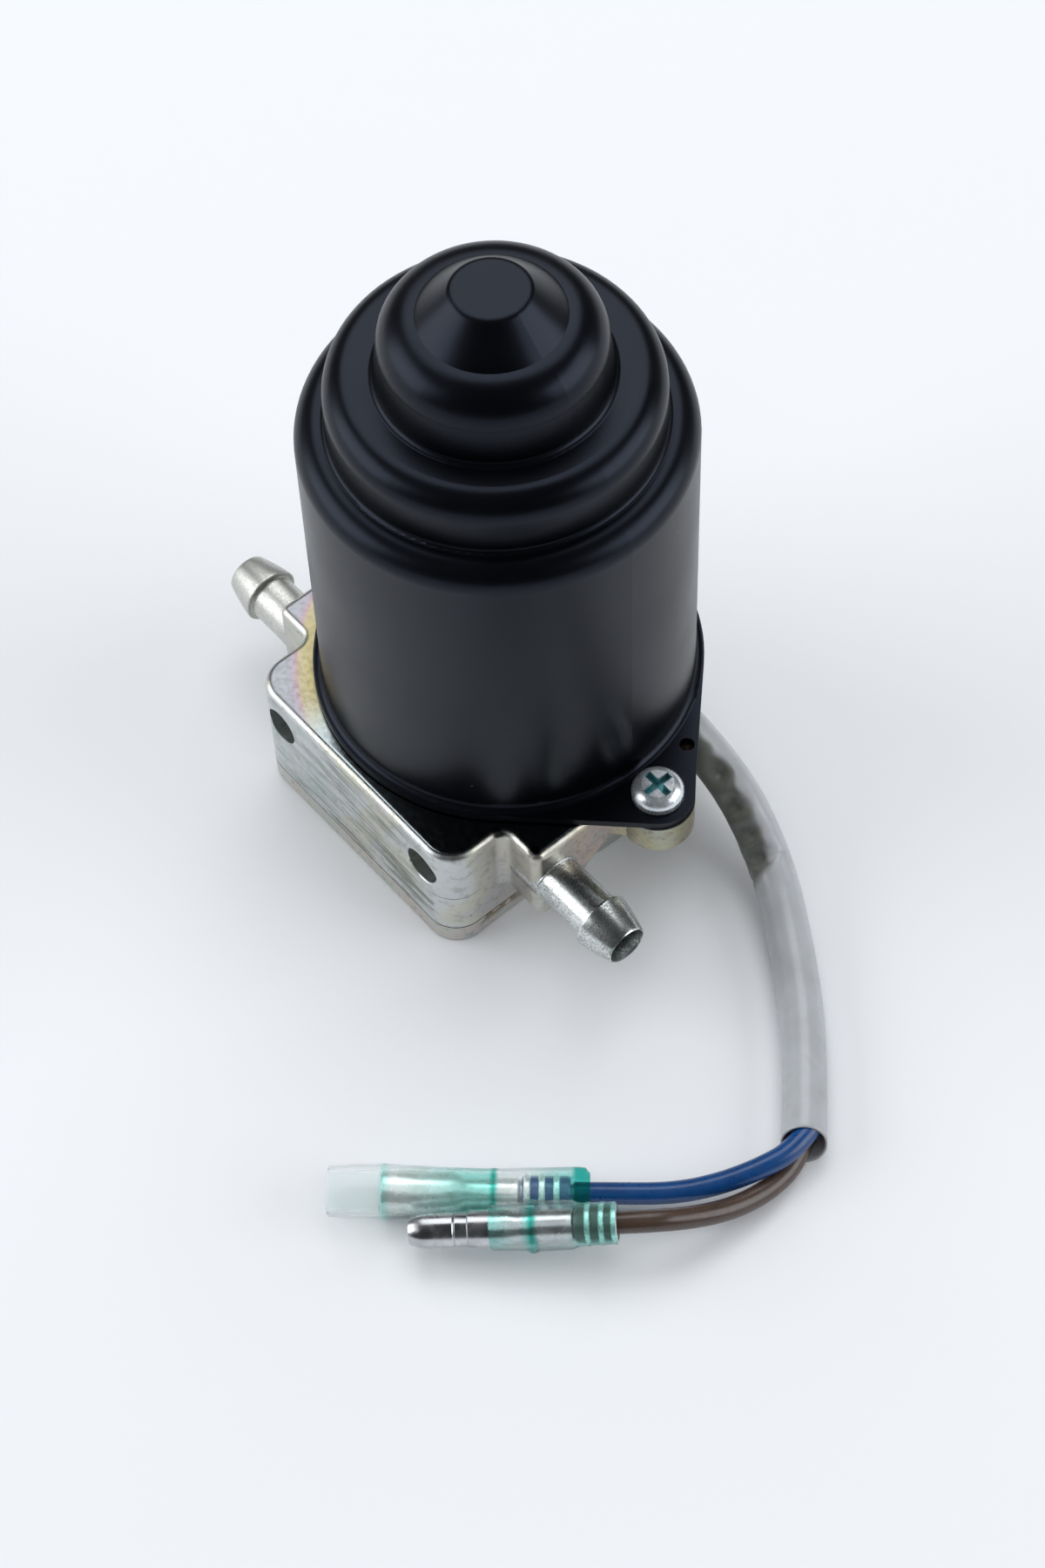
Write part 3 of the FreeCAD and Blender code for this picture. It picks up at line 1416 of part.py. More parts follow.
# Lead tails: from the grommet up the riser to the brush terminals
tail_start_x = recess_floor.value
tail_level = d.cable_height.value
blue_tail_y = d.cable_y.value + d.lead_pitch.value / 2
brown_tail_y = d.cable_y.value - d.lead_pitch.value / 2
riser_x = d.cable_turn_x.value
tab_rise = d.tab_thickness.value + d.lead_radius.value
tab_level = level_plate_top.value + tab_rise + d.tail_lift.value
tab_y = d.box_half_width.value + tab_rise + d.tail_stand_off.value
turn_level = tail_level + d.tail_rise.value
crossing_level = tab_level + d.tail_crossing.value
cord_solid("blue_lead_tail", [
    (tail_start_x, blue_tail_y, tail_level),
    (riser_x, blue_tail_y, tail_level),
    (riser_x, blue_tail_y, turn_level),
    (riser_x - 1.5, blue_tail_y + 0.2, crossing_level),
    (1.5, 13.4, crossing_level + 0.3),
    (-7.5, 11.6, crossing_level),
    (-12.0, tab_y + 3.0, tab_level + 0.3),
    (-14.2, tab_y, tab_level),
], d.lead_radius.value)
cord_solid("brown_lead_tail", [
    (tail_start_x, brown_tail_y, tail_level),
    (riser_x, brown_tail_y, tail_level),
    (riser_x, brown_tail_y, turn_level),
    (riser_x + 0.5, brown_tail_y - 0.8, crossing_level),
    (riser_x + 3.6, tab_y + 2.6, tab_level + 0.2),
    (riser_x + 5.6, tab_y, tab_level),
], d.lead_radius.value)

# Cable sleeve: plastic tube from the grommet down to the floor, cut off square
SLEEVE_ROUTE = [
    (14.4, 13.0, 10.5),
    (24.6, 12.95, 9.8),
    (35.5, 10.8, 4.6),
    (47.0, 4.1, 2.75),
    (57.0, -3.3, 2.72),
    (65.8, -11.8, 2.71),
]
cord_solid("cable_sleeve", SLEEVE_ROUTE, d.sleeve_radius.value)

# Leads: out of the sleeve's mouth and round to their bullet connectors
BLUE_ROUTE = [
    (65.3, -10.3, 4.05),
    (66.15, -13.9, 4.05),
    (65.3, -18.2, 3.9),
    (63.6, -22.9, 3.6),
    (60.9, -27.6, 3.3),
    (56.34, -32.73, 3.22),
    (52.28, -37.29, 3.22),
]
BROWN_ROUTE = [
    (64.6, -10.2, 1.35),
    (66.4, -13.54, 1.33),
    (67.2, -17.96, 1.7),
    (66.85, -23.21, 3.0),
    (65.34, -28.42, 5.0),
    (62.68, -33.78, 7.12),
    (59.12, -37.79, 6.54),
]
cord_solid("blue_lead", BLUE_ROUTE, d.lead_radius.value)
cord_solid("brown_lead", BROWN_ROUTE, d.lead_radius.value)


# Bullet connectors: each is turned about its own axis, from its open end
def connector_placement(front, lead_end, lead_before):
    """Stands the piece's own Z axis on the line that the lead's last run lies on."""
    heading = Vector(*lead_before) - Vector(*lead_end)
    return FreeCAD.Placement(Vector(*front), FreeCAD.Rotation(Vector(0, 0, 1), heading))


def point_before(lead_end, lead_before, distance):
    """The point so far past the lead's end, away from the lead."""
    heading = Vector(*lead_end) - Vector(*lead_before)
    heading.normalize()
    return Vector(*lead_end) + heading * distance


blue_front = point_before(BLUE_ROUTE[-1], BLUE_ROUTE[-2], d.socket_reach.value)
blue_place = connector_placement(blue_front, BLUE_ROUTE[-1], BLUE_ROUTE[-2])
socket_end = d.socket_mouth + d.socket_length
socket_floor = socket_end - d.socket_wall
sleeve_inner = d.socket_radius + d.press_gap
barrel_way = d.barrel_radius + d.press_gap
lead_way = d.lead_radius + d.press_gap
turned("blue_terminal", [
    (d.socket_bore, d.socket_mouth),
    (d.socket_radius, d.socket_mouth),
    (d.socket_radius, socket_end),
    (d.barrel_radius, socket_end + d.shoulder_run),
    (d.barrel_radius, d.socket_reach),
    (ZERO, d.socket_reach),
    (ZERO, socket_floor),
    (d.socket_bore, socket_floor),
], placement=blue_place)
turned("blue_terminal_sleeve", [
    (d.socket_entry, ZERO),
    (d.socket_sleeve_mouth, ZERO),
    (d.socket_sleeve_belly, d.socket_belly_place),
    (d.socket_sleeve_waist, d.socket_waist_place, -d.socket_waist_bend),
    (d.socket_sleeve_tail, d.socket_sleeve_length - d.socket_end_length, -d.socket_tail_bend),
    (d.socket_sleeve_end, d.socket_sleeve_length, d.socket_end_length),
    (lead_way, d.socket_sleeve_length),
    (lead_way, d.socket_reach + d.inner_gap),
    (barrel_way, d.socket_reach + d.inner_gap),
    (barrel_way, socket_end + d.shoulder_run + d.inner_gap),
    (sleeve_inner, socket_end + d.inner_gap / 2),
    (sleeve_inner, d.socket_mouth - d.inner_gap / 2),
    (d.socket_entry, d.socket_mouth - d.inner_gap / 2),
], placement=blue_place)

brown_front = point_before(BROWN_ROUTE[-1], BROWN_ROUTE[-2], d.pin_reach.value)
brown_place = connector_placement(brown_front, BROWN_ROUTE[-1], BROWN_ROUTE[-2])
groove_radius = d.pin_radius - d.pin_groove_depth
groove_start = d.pin_groove_place + d.pin_groove_slope
groove_end = groove_start + d.pin_groove_width
pin_end = d.pin_length + d.pin_foot
turned("brown_terminal", [
    (d.pin_bore, ZERO),
    (d.pin_tip_radius, ZERO),
    (d.pin_radius, d.pin_tip_length, d.pin_tip_bulge),
    (d.pin_radius, d.pin_groove_place),
    (groove_radius, groove_start),
    (groove_radius, groove_end),
    (d.pin_radius, groove_end + d.pin_groove_slope),
    (d.pin_radius, pin_end),
    (d.barrel_radius, pin_end + d.shoulder_run),
    (d.barrel_radius, d.pin_reach),
    (ZERO, d.pin_reach),
    (ZERO, d.pin_bore_depth),
    (d.pin_bore, d.pin_bore_depth),
], placement=brown_place)
pin_way = d.pin_radius + d.press_gap
collar_end = d.pin_collar_place + d.pin_collar_width
turned("brown_terminal_sleeve", [
    (pin_way, d.pin_length),
    (d.pin_sleeve_mouth, d.pin_length),
    (d.pin_sleeve_body, d.pin_collar_place),
    (d.pin_sleeve_collar, d.pin_collar_place + d.inner_gap),
    (d.pin_sleeve_collar, collar_end),
    (d.pin_sleeve_body, collar_end + d.inner_gap),
    (d.pin_sleeve_body, d.pin_tail_place),
    (d.pin_sleeve_tail, d.pin_tail_place + d.inner_gap),
    (d.pin_sleeve_tail, d.pin_sleeve_length),
    (lead_way, d.pin_sleeve_length),
    (lead_way, d.pin_reach + d.inner_gap),
    (barrel_way, d.pin_reach + d.inner_gap),
    (barrel_way, pin_end + d.shoulder_run + d.inner_gap),
    (pin_way, pin_end + d.inner_gap),
], placement=brown_place)

# Every object and every node's shape has to be sound before anything is written
doc.recompute()
for item in doc.Objects:
    if "Invalid" in item.State or "Error" in item.State:
        raise RuntimeError("%s failed: %s" % (item.Name, item.State))
for node in nodes:
    if node.Shape.isNull() or not node.Shape.isValid():
        raise RuntimeError(node.Label + " has no sound shape")
for node in nodes:
    node.Shape.exportStep("parts/%s.step" % node.Label)
print(len(nodes), "nodes written")
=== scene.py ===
import math
import bmesh
import bpy
from mathutils import Matrix, Quaternion, Vector, kdtree


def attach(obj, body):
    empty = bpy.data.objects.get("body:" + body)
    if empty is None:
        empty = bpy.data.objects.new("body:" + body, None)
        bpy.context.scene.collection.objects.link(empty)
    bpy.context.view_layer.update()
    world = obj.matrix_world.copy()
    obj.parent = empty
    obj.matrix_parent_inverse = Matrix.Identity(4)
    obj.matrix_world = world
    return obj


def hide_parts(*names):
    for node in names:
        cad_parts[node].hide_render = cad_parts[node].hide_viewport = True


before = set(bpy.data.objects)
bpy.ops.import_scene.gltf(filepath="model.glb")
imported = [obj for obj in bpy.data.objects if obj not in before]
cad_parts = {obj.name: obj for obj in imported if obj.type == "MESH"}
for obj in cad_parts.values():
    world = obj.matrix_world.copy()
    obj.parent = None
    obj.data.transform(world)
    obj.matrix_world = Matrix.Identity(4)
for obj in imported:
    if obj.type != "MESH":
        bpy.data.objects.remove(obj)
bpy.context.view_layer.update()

# View
# The pump stands on a pale table and is seen from above its front corner. The camera's
# place and turn were worked out from the can's rings and the casting's corners.
EYE = Vector((0.19593, -0.15290, 0.37474))
AIM = Vector((0.021087, -0.015375, 0.030682))
ROLL = math.radians(-2.667)
LENS = 82.81
SENSOR = 36.0
camera = bpy.data.objects.new("camera", bpy.data.cameras.new("camera"))
bpy.context.scene.collection.objects.link(camera)
camera.data.sensor_width = SENSOR
camera.data.lens = LENS
camera.data.clip_start = 0.01
camera.data.clip_end = 20.0
turn = (EYE - AIM).to_track_quat("Z", "Y") @ Quaternion((0.0, 0.0, 1.0), ROLL)
camera.matrix_world = Matrix.LocRotScale(EYE, turn, None)
bpy.context.scene.camera = camera
bpy.context.scene.view_settings.view_transform = "Standard"


# Table
# A wide pale board, lit evenly, on which the pump casts a soft shadow. Beyond the reach of the
# lamps it looks as pale as near them to the eye and in reflections, and lights nothing.
def shader_of(finish):
    """The one surface shader that a finish has."""
    return finish.node_tree.nodes["Principled BSDF"]


def new_finish(name, **fixed):
    """A finish of one surface shader, with its fixed values on the shader's own sockets."""
    finish = bpy.data.materials.new(name)
    finish.use_nodes = True
    shader = shader_of(finish)
    for socket, value in fixed.items():
        shader.inputs[socket.replace("_", " ")].default_value = value
    return finish


def step(tree, kind, sockets=(), output=0, **settings):
    """Adds one node to a tree, fills or links its inputs, and gives back one output."""
    made = tree.nodes.new(kind)
    for setting, value in settings.items():
        setattr(made, setting, value)
    for key, value in dict(sockets).items():
        if isinstance(value, bpy.types.NodeSocket):
            tree.links.new(value, made.inputs[key])
        else:
            made.inputs[key].default_value = value
    return made.outputs[output]


TABLE_SIDE = 6.0
TABLE_DROP = 0.00003
TABLE_LIT = 0.45
TABLE_UNLIT = 2.20
TABLE_PALENESS = 0.88
TABLE_COLOUR = (0.80, 0.81, 0.83, 1.0)
table_mesh = bpy.data.meshes.new("table")
shape = bmesh.new()
bmesh.ops.create_grid(shape, x_segments=1, y_segments=1, size=TABLE_SIDE / 2)
bmesh.ops.translate(shape, verts=shape.verts, vec=(0.0, 0.0, -TABLE_DROP))
shape.to_mesh(table_mesh)
shape.free()
table = bpy.data.objects.new("table", table_mesh)
bpy.context.scene.collection.objects.link(table)
table_finish = new_finish("table_board", Base_Color=TABLE_COLOUR, Roughness=0.9,
                          Specular_IOR_Level=0.1, Emission_Color=TABLE_COLOUR)
tree = table_finish.node_tree
seen = 0.0
for ray in ("Is Camera Ray", "Is Glossy Ray", "Is Transmission Ray"):
    is_ray = step(tree, "ShaderNodeLightPath", output=ray)
    seen = step(tree, "ShaderNodeMath", {0: seen, 1: is_ray}, operation="MAXIMUM")
table_place = step(tree, "ShaderNodeTexCoord", output="Object")
distance = step(tree, "ShaderNodeVectorMath", {0: table_place}, output="Value", operation="LENGTH")
paleness = step(tree, "ShaderNodeMapRange", {
    "Value": distance, "From Min": TABLE_LIT, "From Max": TABLE_UNLIT,
    "To Min": 0.0, "To Max": TABLE_PALENESS})
glow = step(tree, "ShaderNodeMath", {0: seen, 1: paleness}, operation="MULTIPLY")
tree.links.new(glow, shader_of(table_finish).inputs["Emission Strength"])
table.data.materials.append(table_finish)

# Light
# Wide soft boxes to the left, the right and behind, in a dim room, as in a product studio. The
# side that the camera stands on stays dark, so that the plating's slopes towards it are black.
ROOM_COLOUR = (0.90, 0.94, 1.0, 1.0)
ROOM_LIGHT = 0.05
LAMP_COLOUR = (0.96, 0.98, 1.0)
SUBJECT = (0.02, -0.015, 0.03)
BOX_SIZE = (1.2, 1.0)
SIDE_POWER = 11.5
BACK_POWER = 8.6
OVERHEAD_SIZE = (2.4, 2.4)
OVERHEAD_POWER = 21.5
world = bpy.data.worlds.new("room")
world.use_nodes = True
background = world.node_tree.nodes["Background"]
background.inputs["Color"].default_value = ROOM_COLOUR
background.inputs["Strength"].default_value = ROOM_LIGHT
bpy.context.scene.world = world


def soft_box(name, place, size, power, mirrored=True):
    """A lit panel. One that isn't mirrored lights the table but shows in no shiny surface."""
    lamp = bpy.data.lights.new(name, "AREA")
    lamp.shape = "RECTANGLE"
    lamp.size, lamp.size_y = size
    lamp.energy = power
    lamp.color = LAMP_COLOUR
    holder = bpy.data.objects.new(name, lamp)
    holder.visible_glossy = mirrored
    bpy.context.scene.collection.objects.link(holder)
    place = Vector(place)
    aimed = (place - Vector(SUBJECT)).to_track_quat("Z", "Y")
    holder.matrix_world = Matrix.LocRotScale(place, aimed, None)


soft_box("left_box", (-0.80, -0.95, 0.62), BOX_SIZE, SIDE_POWER)
soft_box("right_box", (0.95, 0.85, 0.62), BOX_SIZE, SIDE_POWER)
soft_box("back_box", (-0.58, 0.46, 1.12), BOX_SIZE, BACK_POWER)
soft_box("overhead_box", (0.02, -0.10, 2.0), OVERHEAD_SIZE, OVERHEAD_POWER, mirrored=False)


# Motor can
# A deep-drawn steel cup with a smooth black satin plating over its rings and ears, with the
# finest of textures, a few dust specks and a faint rub on the side away from the casting.
def object_place(tree):
    """The piece's own coordinates, which stay with it when it moves."""
    return step(tree, "ShaderNodeTexCoord", output="Object")


def coordinate(tree, place, axis):
    """One coordinate of a place, by its axis letter."""
    return step(tree, "ShaderNodeSeparateXYZ", {0: place}, output=axis)


def noise(tree, place, scale, stretch=(1.0, 1.0, 1.0), detail=4.0, **sockets):
    """A soft random pattern, drawn out along an axis where its stretch is below 1."""
    drawn = step(tree, "ShaderNodeMapping", {"Vector": place, "Scale": stretch})
    values = {"Vector": drawn, "Scale": scale, "Detail": detail, "Roughness": 0.6}
    return step(tree, "ShaderNodeTexNoise", values | sockets)


def ramp(tree, factor, stops):
    """Colours along a factor, each stop a position and a colour."""
    made = tree.nodes.new("ShaderNodeValToRGB")
    elements = made.color_ramp.elements
    for index, (position, colour) in enumerate(stops):
        element = elements[index] if index < 2 else elements.new(position)
        element.position = position
        element.color = (*colour, 1.0)
    tree.links.new(factor, made.inputs[0])
    return made.outputs[0]


def rise(tree, value, low, high, bottom=0.0, top=1.0):
    """Runs smoothly from bottom at low to top at high, and stays there beyond."""
    values = {"Value": value, "From Min": low, "From Max": high, "To Min": bottom, "To Max": top}
    return step(tree, "ShaderNodeMapRange", values, interpolation_type="SMOOTHSTEP")


def fall(tree, value, low, high):
    """Runs smoothly from 1 at low to 0 at high."""
    return rise(tree, value, low, high, 1.0, 0.0)


def maths(tree, operation, first, second=0.0):
    """One sum on two values or outputs."""
    return step(tree, "ShaderNodeMath", {0: first, 1: second}, operation=operation)


def product(tree, first, *others):
    """All the values or outputs multiplied together."""
    for other in others:
        first = maths(tree, "MULTIPLY", first, other)
    return first


def reach(tree, across, along):
    """The distance from the point where both offsets are 0."""
    squares = maths(tree, "ADD", product(tree, across, across), product(tree, along, along))
    return maths(tree, "SQRT", squares)


def scattered(tree, place, scale, inner, outer, patch_scale, patch_from, patch_to):
    """Small round spots, 1 at their centres, in some patches and not in others."""
    spots = step(tree, "ShaderNodeTexVoronoi", {"Vector": place, "Scale": scale}, output="Distance")
    patches = rise(tree, noise(tree, place, patch_scale, detail=1.0), patch_from, patch_to)
    return product(tree, fall(tree, spots, inner, outer), patches)


def blend(tree, factor, first, second):
    """The first colour where the factor is 0, the second where it is 1."""
    first, second = [(*colour, 1.0) if isinstance(colour, tuple) and len(colour) == 3 else colour
                     for colour in (first, second)]
    values = {0: factor, 6: first, 7: second}
    return step(tree, "ShaderNodeMix", values, output=2, data_type="RGBA")


def relief(tree, height, strength, depth):
    """Fine relief that is too small to build: strength 0 to 1, depth in metres."""
    values = {"Height": height, "Strength": strength, "Distance": depth}
    return step(tree, "ShaderNodeBump", values)


def wire(finish, **outputs):
    """Joins node outputs to the finish's surface shader."""
    for socket, output in outputs.items():
        finish.node_tree.links.new(output, shader_of(finish).inputs[socket.replace("_", " ")])


def wear(finish, *names):
    """Gives CAD nodes their finish."""
    for name in names:
        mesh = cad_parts[name].data
        mesh.materials.clear()
        mesh.materials.append(finish)


RUB_FROM_X = (0.012, 0.0165)
RUB_FROM_Y = (0.006, 0.010)
RUB_FROM_Z = (0.050, 0.053)
RUB_TO_Z = (0.058, 0.062)
PLATING_DARK = (0.0008, 0.0009, 0.0013)
PLATING_LIGHT = (0.0016, 0.0017, 0.0023)
DUST_COLOUR = (0.16, 0.17, 0.18)
RUB_COLOUR = (0.10, 0.11, 0.12)
can_plating = new_finish("can_plating", Specular_IOR_Level=0.28,
                         Specular_Tint=(0.62, 0.72, 1.0, 1.0))
tree = can_plating.node_tree
place = object_place(tree)
x, y, z = [coordinate(tree, place, axis) for axis in "XYZ"]
cloud = noise(tree, place, 55.0)
grain = noise(tree, place, 3800.0, detail=2.0)
dust = scattered(tree, place, 190.0, 0.028, 0.04, 90.0, 0.56, 0.60)
streaks = rise(tree, noise(tree, place, 420.0, (1.0, 1.0, 0.12), detail=3.0), 0.55, 0.72)
beside = product(tree, rise(tree, x, *RUB_FROM_X), rise(tree, y, *RUB_FROM_Y))
rub_band = product(tree, rise(tree, z, *RUB_FROM_Z), fall(tree, z, *RUB_TO_Z))
rub = product(tree, streaks, beside, rub_band)
black = ramp(tree, cloud, [(0.35, PLATING_DARK), (0.65, PLATING_LIGHT)])
dusty = blend(tree, dust, black, DUST_COLOUR)
wire(can_plating,
     Base_Color=blend(tree, product(tree, rub, 0.4), dusty, RUB_COLOUR),
     Roughness=rise(tree, cloud, 0.3, 0.7, 0.29, 0.35),
     Normal=relief(tree, grain, 0.10, 0.00002))
wear(can_plating, "motor_can")

# Flange packing
# A sheet of dark fibre packing, cut to the flange's outline and clamped between the can and the
# casting. Its edge shows as a soft black line under the ear.
packing_fibre = new_finish("packing_fibre", Roughness=0.75, Specular_IOR_Level=0.2)
tree = packing_fibre.node_tree
fibre = noise(tree, object_place(tree), 1800.0, (1.0, 1.0, 0.3))
wire(packing_fibre,
     Base_Color=ramp(tree, fibre, [(0.4, (0.008, 0.008, 0.008)), (0.7, (0.03, 0.028, 0.025))]),
     Normal=relief(tree, fibre, 0.4, 0.00005))
wear(packing_fibre, "flange_packing")

# Pump body
# Die-cast zinc under a thin chromate film that runs from silver through straw yellow to pink and
# lilac. The top face is smooth enough to mirror the can, the wall with the mounting holes is
# ground along its length, and a fine parting line runs round the other sides.
TOP_FACE = (0.01845, 0.01858)
TOP_EDGE = (0.01820, 0.01850)
GROUND_WALL = (-0.02496, -0.02490)
STRAW_SIDE = (-0.0125, -0.0050)
STRAW_BAND = (0.0222, 0.0282)
SEAM_HEIGHT = 0.0097
SEAM_HALF = (0.00004, 0.00010)
# Painted dark reflections: black blots in the fillets of its top edge, where they face the dark
# side of the room: the centre and size of each
PAINTED_DARK_REFLECTIONS = [
    ((0.01830, -0.01700, 0.0184), 0.0009),
    ((0.02290, -0.01560, 0.0184), 0.0010),
    ((0.01500, -0.02326, 0.0182), 0.0005),
    ((0.01600, -0.02290, 0.0181), 0.0006),
    ((0.01690, -0.02230, 0.0180), 0.0006),
    ((0.01760, -0.02110, 0.0182), 0.0004),
    ((0.02480, -0.01250, 0.0160), 0.0005),
    ((-0.01356, -0.02128, 0.0186), -0.0004),
    ((-0.01230, -0.02214, 0.0186), -0.0004),
]
REFLECTION_SOFTNESS = 0.0006
REFLECTION_RAGGEDNESS = 0.0012
casting_film = new_finish("casting_film", Metallic=1.0)
tree = casting_film.node_tree
place = object_place(tree)
x, y, z = [coordinate(tree, place, axis) for axis in "XYZ"]
on_top = rise(tree, z, *TOP_FACE)
below_top = maths(tree, "SUBTRACT", 1.0, on_top)
# The film's colours on the sides, and in bands round the can on the top face
film = noise(tree, place, 70.0, detail=2.0, Distortion=0.6)
silver = ramp(tree, film, [
    (0.28, (0.52, 0.59, 0.57)), (0.40, (0.62, 0.65, 0.65)), (0.50, (0.64, 0.66, 0.66)),
    (0.58, (0.63, 0.63, 0.54)), (0.70, (0.60, 0.57, 0.60)), (0.78, (0.54, 0.61, 0.63))])
straw = ramp(tree, film, [
    (0.30, (0.44, 0.46, 0.38)), (0.45, (0.54, 0.51, 0.34)), (0.58, (0.56, 0.46, 0.42)),
    (0.70, (0.42, 0.46, 0.41))])
under_ear = product(tree, rise(tree, x, 0.0225, 0.0245), rise(tree, y, -0.014, -0.010))
front_streak = product(tree, rise(tree, x, 0.0165, 0.0180), rise(tree, y, -0.0215, -0.0190))
tinted = maths(tree, "MAXIMUM", under_ear, product(tree, front_streak, 0.3))
sides = blend(tree, tinted, silver, straw)
band = ramp(tree, rise(tree, reach(tree, x, y), *STRAW_BAND), [
    (0.0, (0.26, 0.22, 0.10)), (0.30, (0.34, 0.30, 0.17)), (0.52, (0.34, 0.30, 0.20)),
    (0.60, (0.34, 0.25, 0.245)), (0.70, (0.30, 0.265, 0.30)), (0.85, (0.28, 0.285, 0.305))])
top = blend(tree, fall(tree, x, *STRAW_SIDE), (0.30, 0.34, 0.35), band)
colour = blend(tree, on_top, sides, top)
# The ground wall's dark scratches, then the mottle and freckles of the cast skin
ground = fall(tree, y, *GROUND_WALL)
scratch = noise(tree, place, 1500.0, (0.08, 1.0, 1.0), detail=6.0)
worn = rise(tree, noise(tree, place, 150.0, (0.4, 1.0, 1.0), detail=3.0), 0.36, 0.62)
depth = maths(tree, "ADD", product(tree, worn, 0.62), 0.14)
marks = product(tree, ground, rise(tree, scratch, 0.47, 0.58), depth)
colour = blend(tree, marks, colour, (0.13, 0.15, 0.12))
skin = noise(tree, place, 1500.0, detail=5.0)
mottle = rise(tree, noise(tree, place, 800.0, detail=4.0), 0.50, 0.66)
mottled = blend(tree, mottle, colour, (0.33, 0.33, 0.29))
colour = blend(tree, product(tree, below_top, 0.45), colour, mottled)
freckles = rise(tree, noise(tree, place, 1100.0, detail=3.0), 0.55, 0.64)
colour = blend(tree, product(tree, freckles, under_ear, 0.55), colour, (0.34, 0.22, 0.20))
# Painted dark reflections, pits and the parting line
ragged = product(tree, noise(tree, place, 900.0, detail=2.0), REFLECTION_RAGGEDNESS)
for spot, size in PAINTED_DARK_REFLECTIONS:
    apart = step(tree, "ShaderNodeVectorMath", {0: place, 1: spot}, output="Value",
                 operation="DISTANCE")
    dark_reflection = fall(tree, maths(tree, "ADD", apart, ragged), size, size + REFLECTION_SOFTNESS)
    colour = blend(tree, product(tree, dark_reflection, 0.92), colour, (0.02, 0.022, 0.025))
pit = scattered(tree, place, 420.0, 0.06, 0.11, 300.0, 0.56, 0.62)
pit = product(tree, pit, fall(tree, z, 0.0170, 0.0184))
colour = blend(tree, product(tree, pit, 0.5), colour, (0.10, 0.10, 0.08))
from_seam = maths(tree, "ABSOLUTE", maths(tree, "SUBTRACT", z, SEAM_HEIGHT))
seam_end = rise(tree, y, -0.0230, -0.0200, 1.0, 0.25)
seam = product(tree, fall(tree, from_seam, *SEAM_HALF), rise(tree, x, 0.0135, 0.0150), seam_end)
colour = blend(tree, product(tree, seam, 0.75), colour, (0.08, 0.08, 0.07))
mirror = product(tree, on_top, rise(tree, x, *STRAW_SIDE, 0.05, 0.25))
sunk = maths(tree, "ADD", product(tree, pit, 1.5), product(tree, seam, 2.0))
height = maths(tree, "SUBTRACT", skin, sunk)
height = maths(tree, "SUBTRACT", height, product(tree, ground, scratch, 1.2))
height = product(tree, height, rise(tree, z, *TOP_EDGE, 1.0, 0.04))
wire(casting_film,
     Base_Color=colour,
     Roughness=maths(tree, "SUBTRACT", rise(tree, skin, 0.3, 0.7, 0.33, 0.46), mirror),
     Normal=relief(tree, height, 0.30, 0.00005))
wear(casting_film, "pump_body")


# Hose nozzles
# Turned steel with bright zinc plating, mottled light and dark where the plating is crystalline,
# and pressed into the casting. Each has a barb with a thin rolled rear edge and a cone that
# bulges slightly to the tip.
def turned_piece(name, profile, origin, axis, sides=96):
    """A piece turned about an axis, from points of the distance along it and the radius, in mm."""
    shape = bmesh.new()
    corners = [shape.verts.new((radius / 1000, 0.0, along / 1000)) for along, radius in profile]
    edges = [shape.edges.new((corners[i - 1], corners[i])) for i in range(len(corners))]
    bmesh.ops.spin(shape, geom=corners + edges, cent=(0, 0, 0), axis=(0, 0, 1),
                   angle=2 * math.pi, steps=sides, use_merge=True)
    bmesh.ops.remove_doubles(shape, verts=shape.verts, dist=1e-7)
    bmesh.ops.recalc_face_normals(shape, faces=shape.faces)
    stand = Matrix.LocRotScale(Vector(origin), Vector(axis).to_track_quat("Z", "Y"), None)
    bmesh.ops.transform(shape, matrix=stand, verts=shape.verts)
    mesh = bpy.data.meshes.new(name)
    shape.to_mesh(mesh)
    shape.free()
    for polygon in mesh.polygons:
        polygon.use_smooth = True
    mesh.set_sharp_from_angle(angle=math.radians(32))
    piece = bpy.data.objects.new(name, mesh)
    bpy.context.scene.collection.objects.link(piece)
    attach(piece, "root")
    return piece


NOZZLE_Y = -0.0133
NOZZLE_Z = 0.01195
NOZZLE_BORE = 2.2
NOZZLE_ROOT = 16.2
CASTING_FACE = (24.25, 24.4)
# The barb and its cone, as the distance from the barb's rear edge and the radius
BARB = [
    (0.0, 3.56), (0.05, 3.65), (0.16, 3.7), (0.34, 3.69), (1.2, 3.54), (2.2, 3.33), (3.2, 3.08),
    (4.0, 2.86), (4.55, 2.70), (4.74, 2.62), (4.8, 2.54), (4.76, 2.46), (4.3, 2.32), (3.4, 2.22),
    (2.8, NOZZLE_BORE),
]
mottled_zinc = new_finish("mottled_zinc", Metallic=1.0)
tree = mottled_zinc.node_tree
place = object_place(tree)
front = rise(tree, coordinate(tree, place, "X"), -0.001, 0.001)
mottle = noise(tree, place, 4600.0, detail=4.0)
patches = noise(tree, place, 240.0, detail=3.0)
both = maths(tree, "ADD", product(tree, mottle, 0.68), product(tree, patches, 0.32))
crystals = ramp(tree, both, [
    (0.38, (0.24, 0.26, 0.25)), (0.45, (0.46, 0.48, 0.47)), (0.52, (0.66, 0.68, 0.67)),
    (0.60, (0.80, 0.82, 0.82))])
satin = ramp(tree, both, [(0.38, (0.50, 0.50, 0.46)), (0.60, (0.70, 0.70, 0.67))])
duller = rise(tree, coordinate(tree, place, "X"), -0.001, 0.001, 0.14, 0.0)
wire(mottled_zinc,
     Base_Color=blend(tree, front, satin, crystals),
     Roughness=maths(tree, "ADD", rise(tree, mottle, 0.35, 0.65, 0.36, 0.22), duller),
     Normal=relief(tree, both, 0.22, 0.00004))
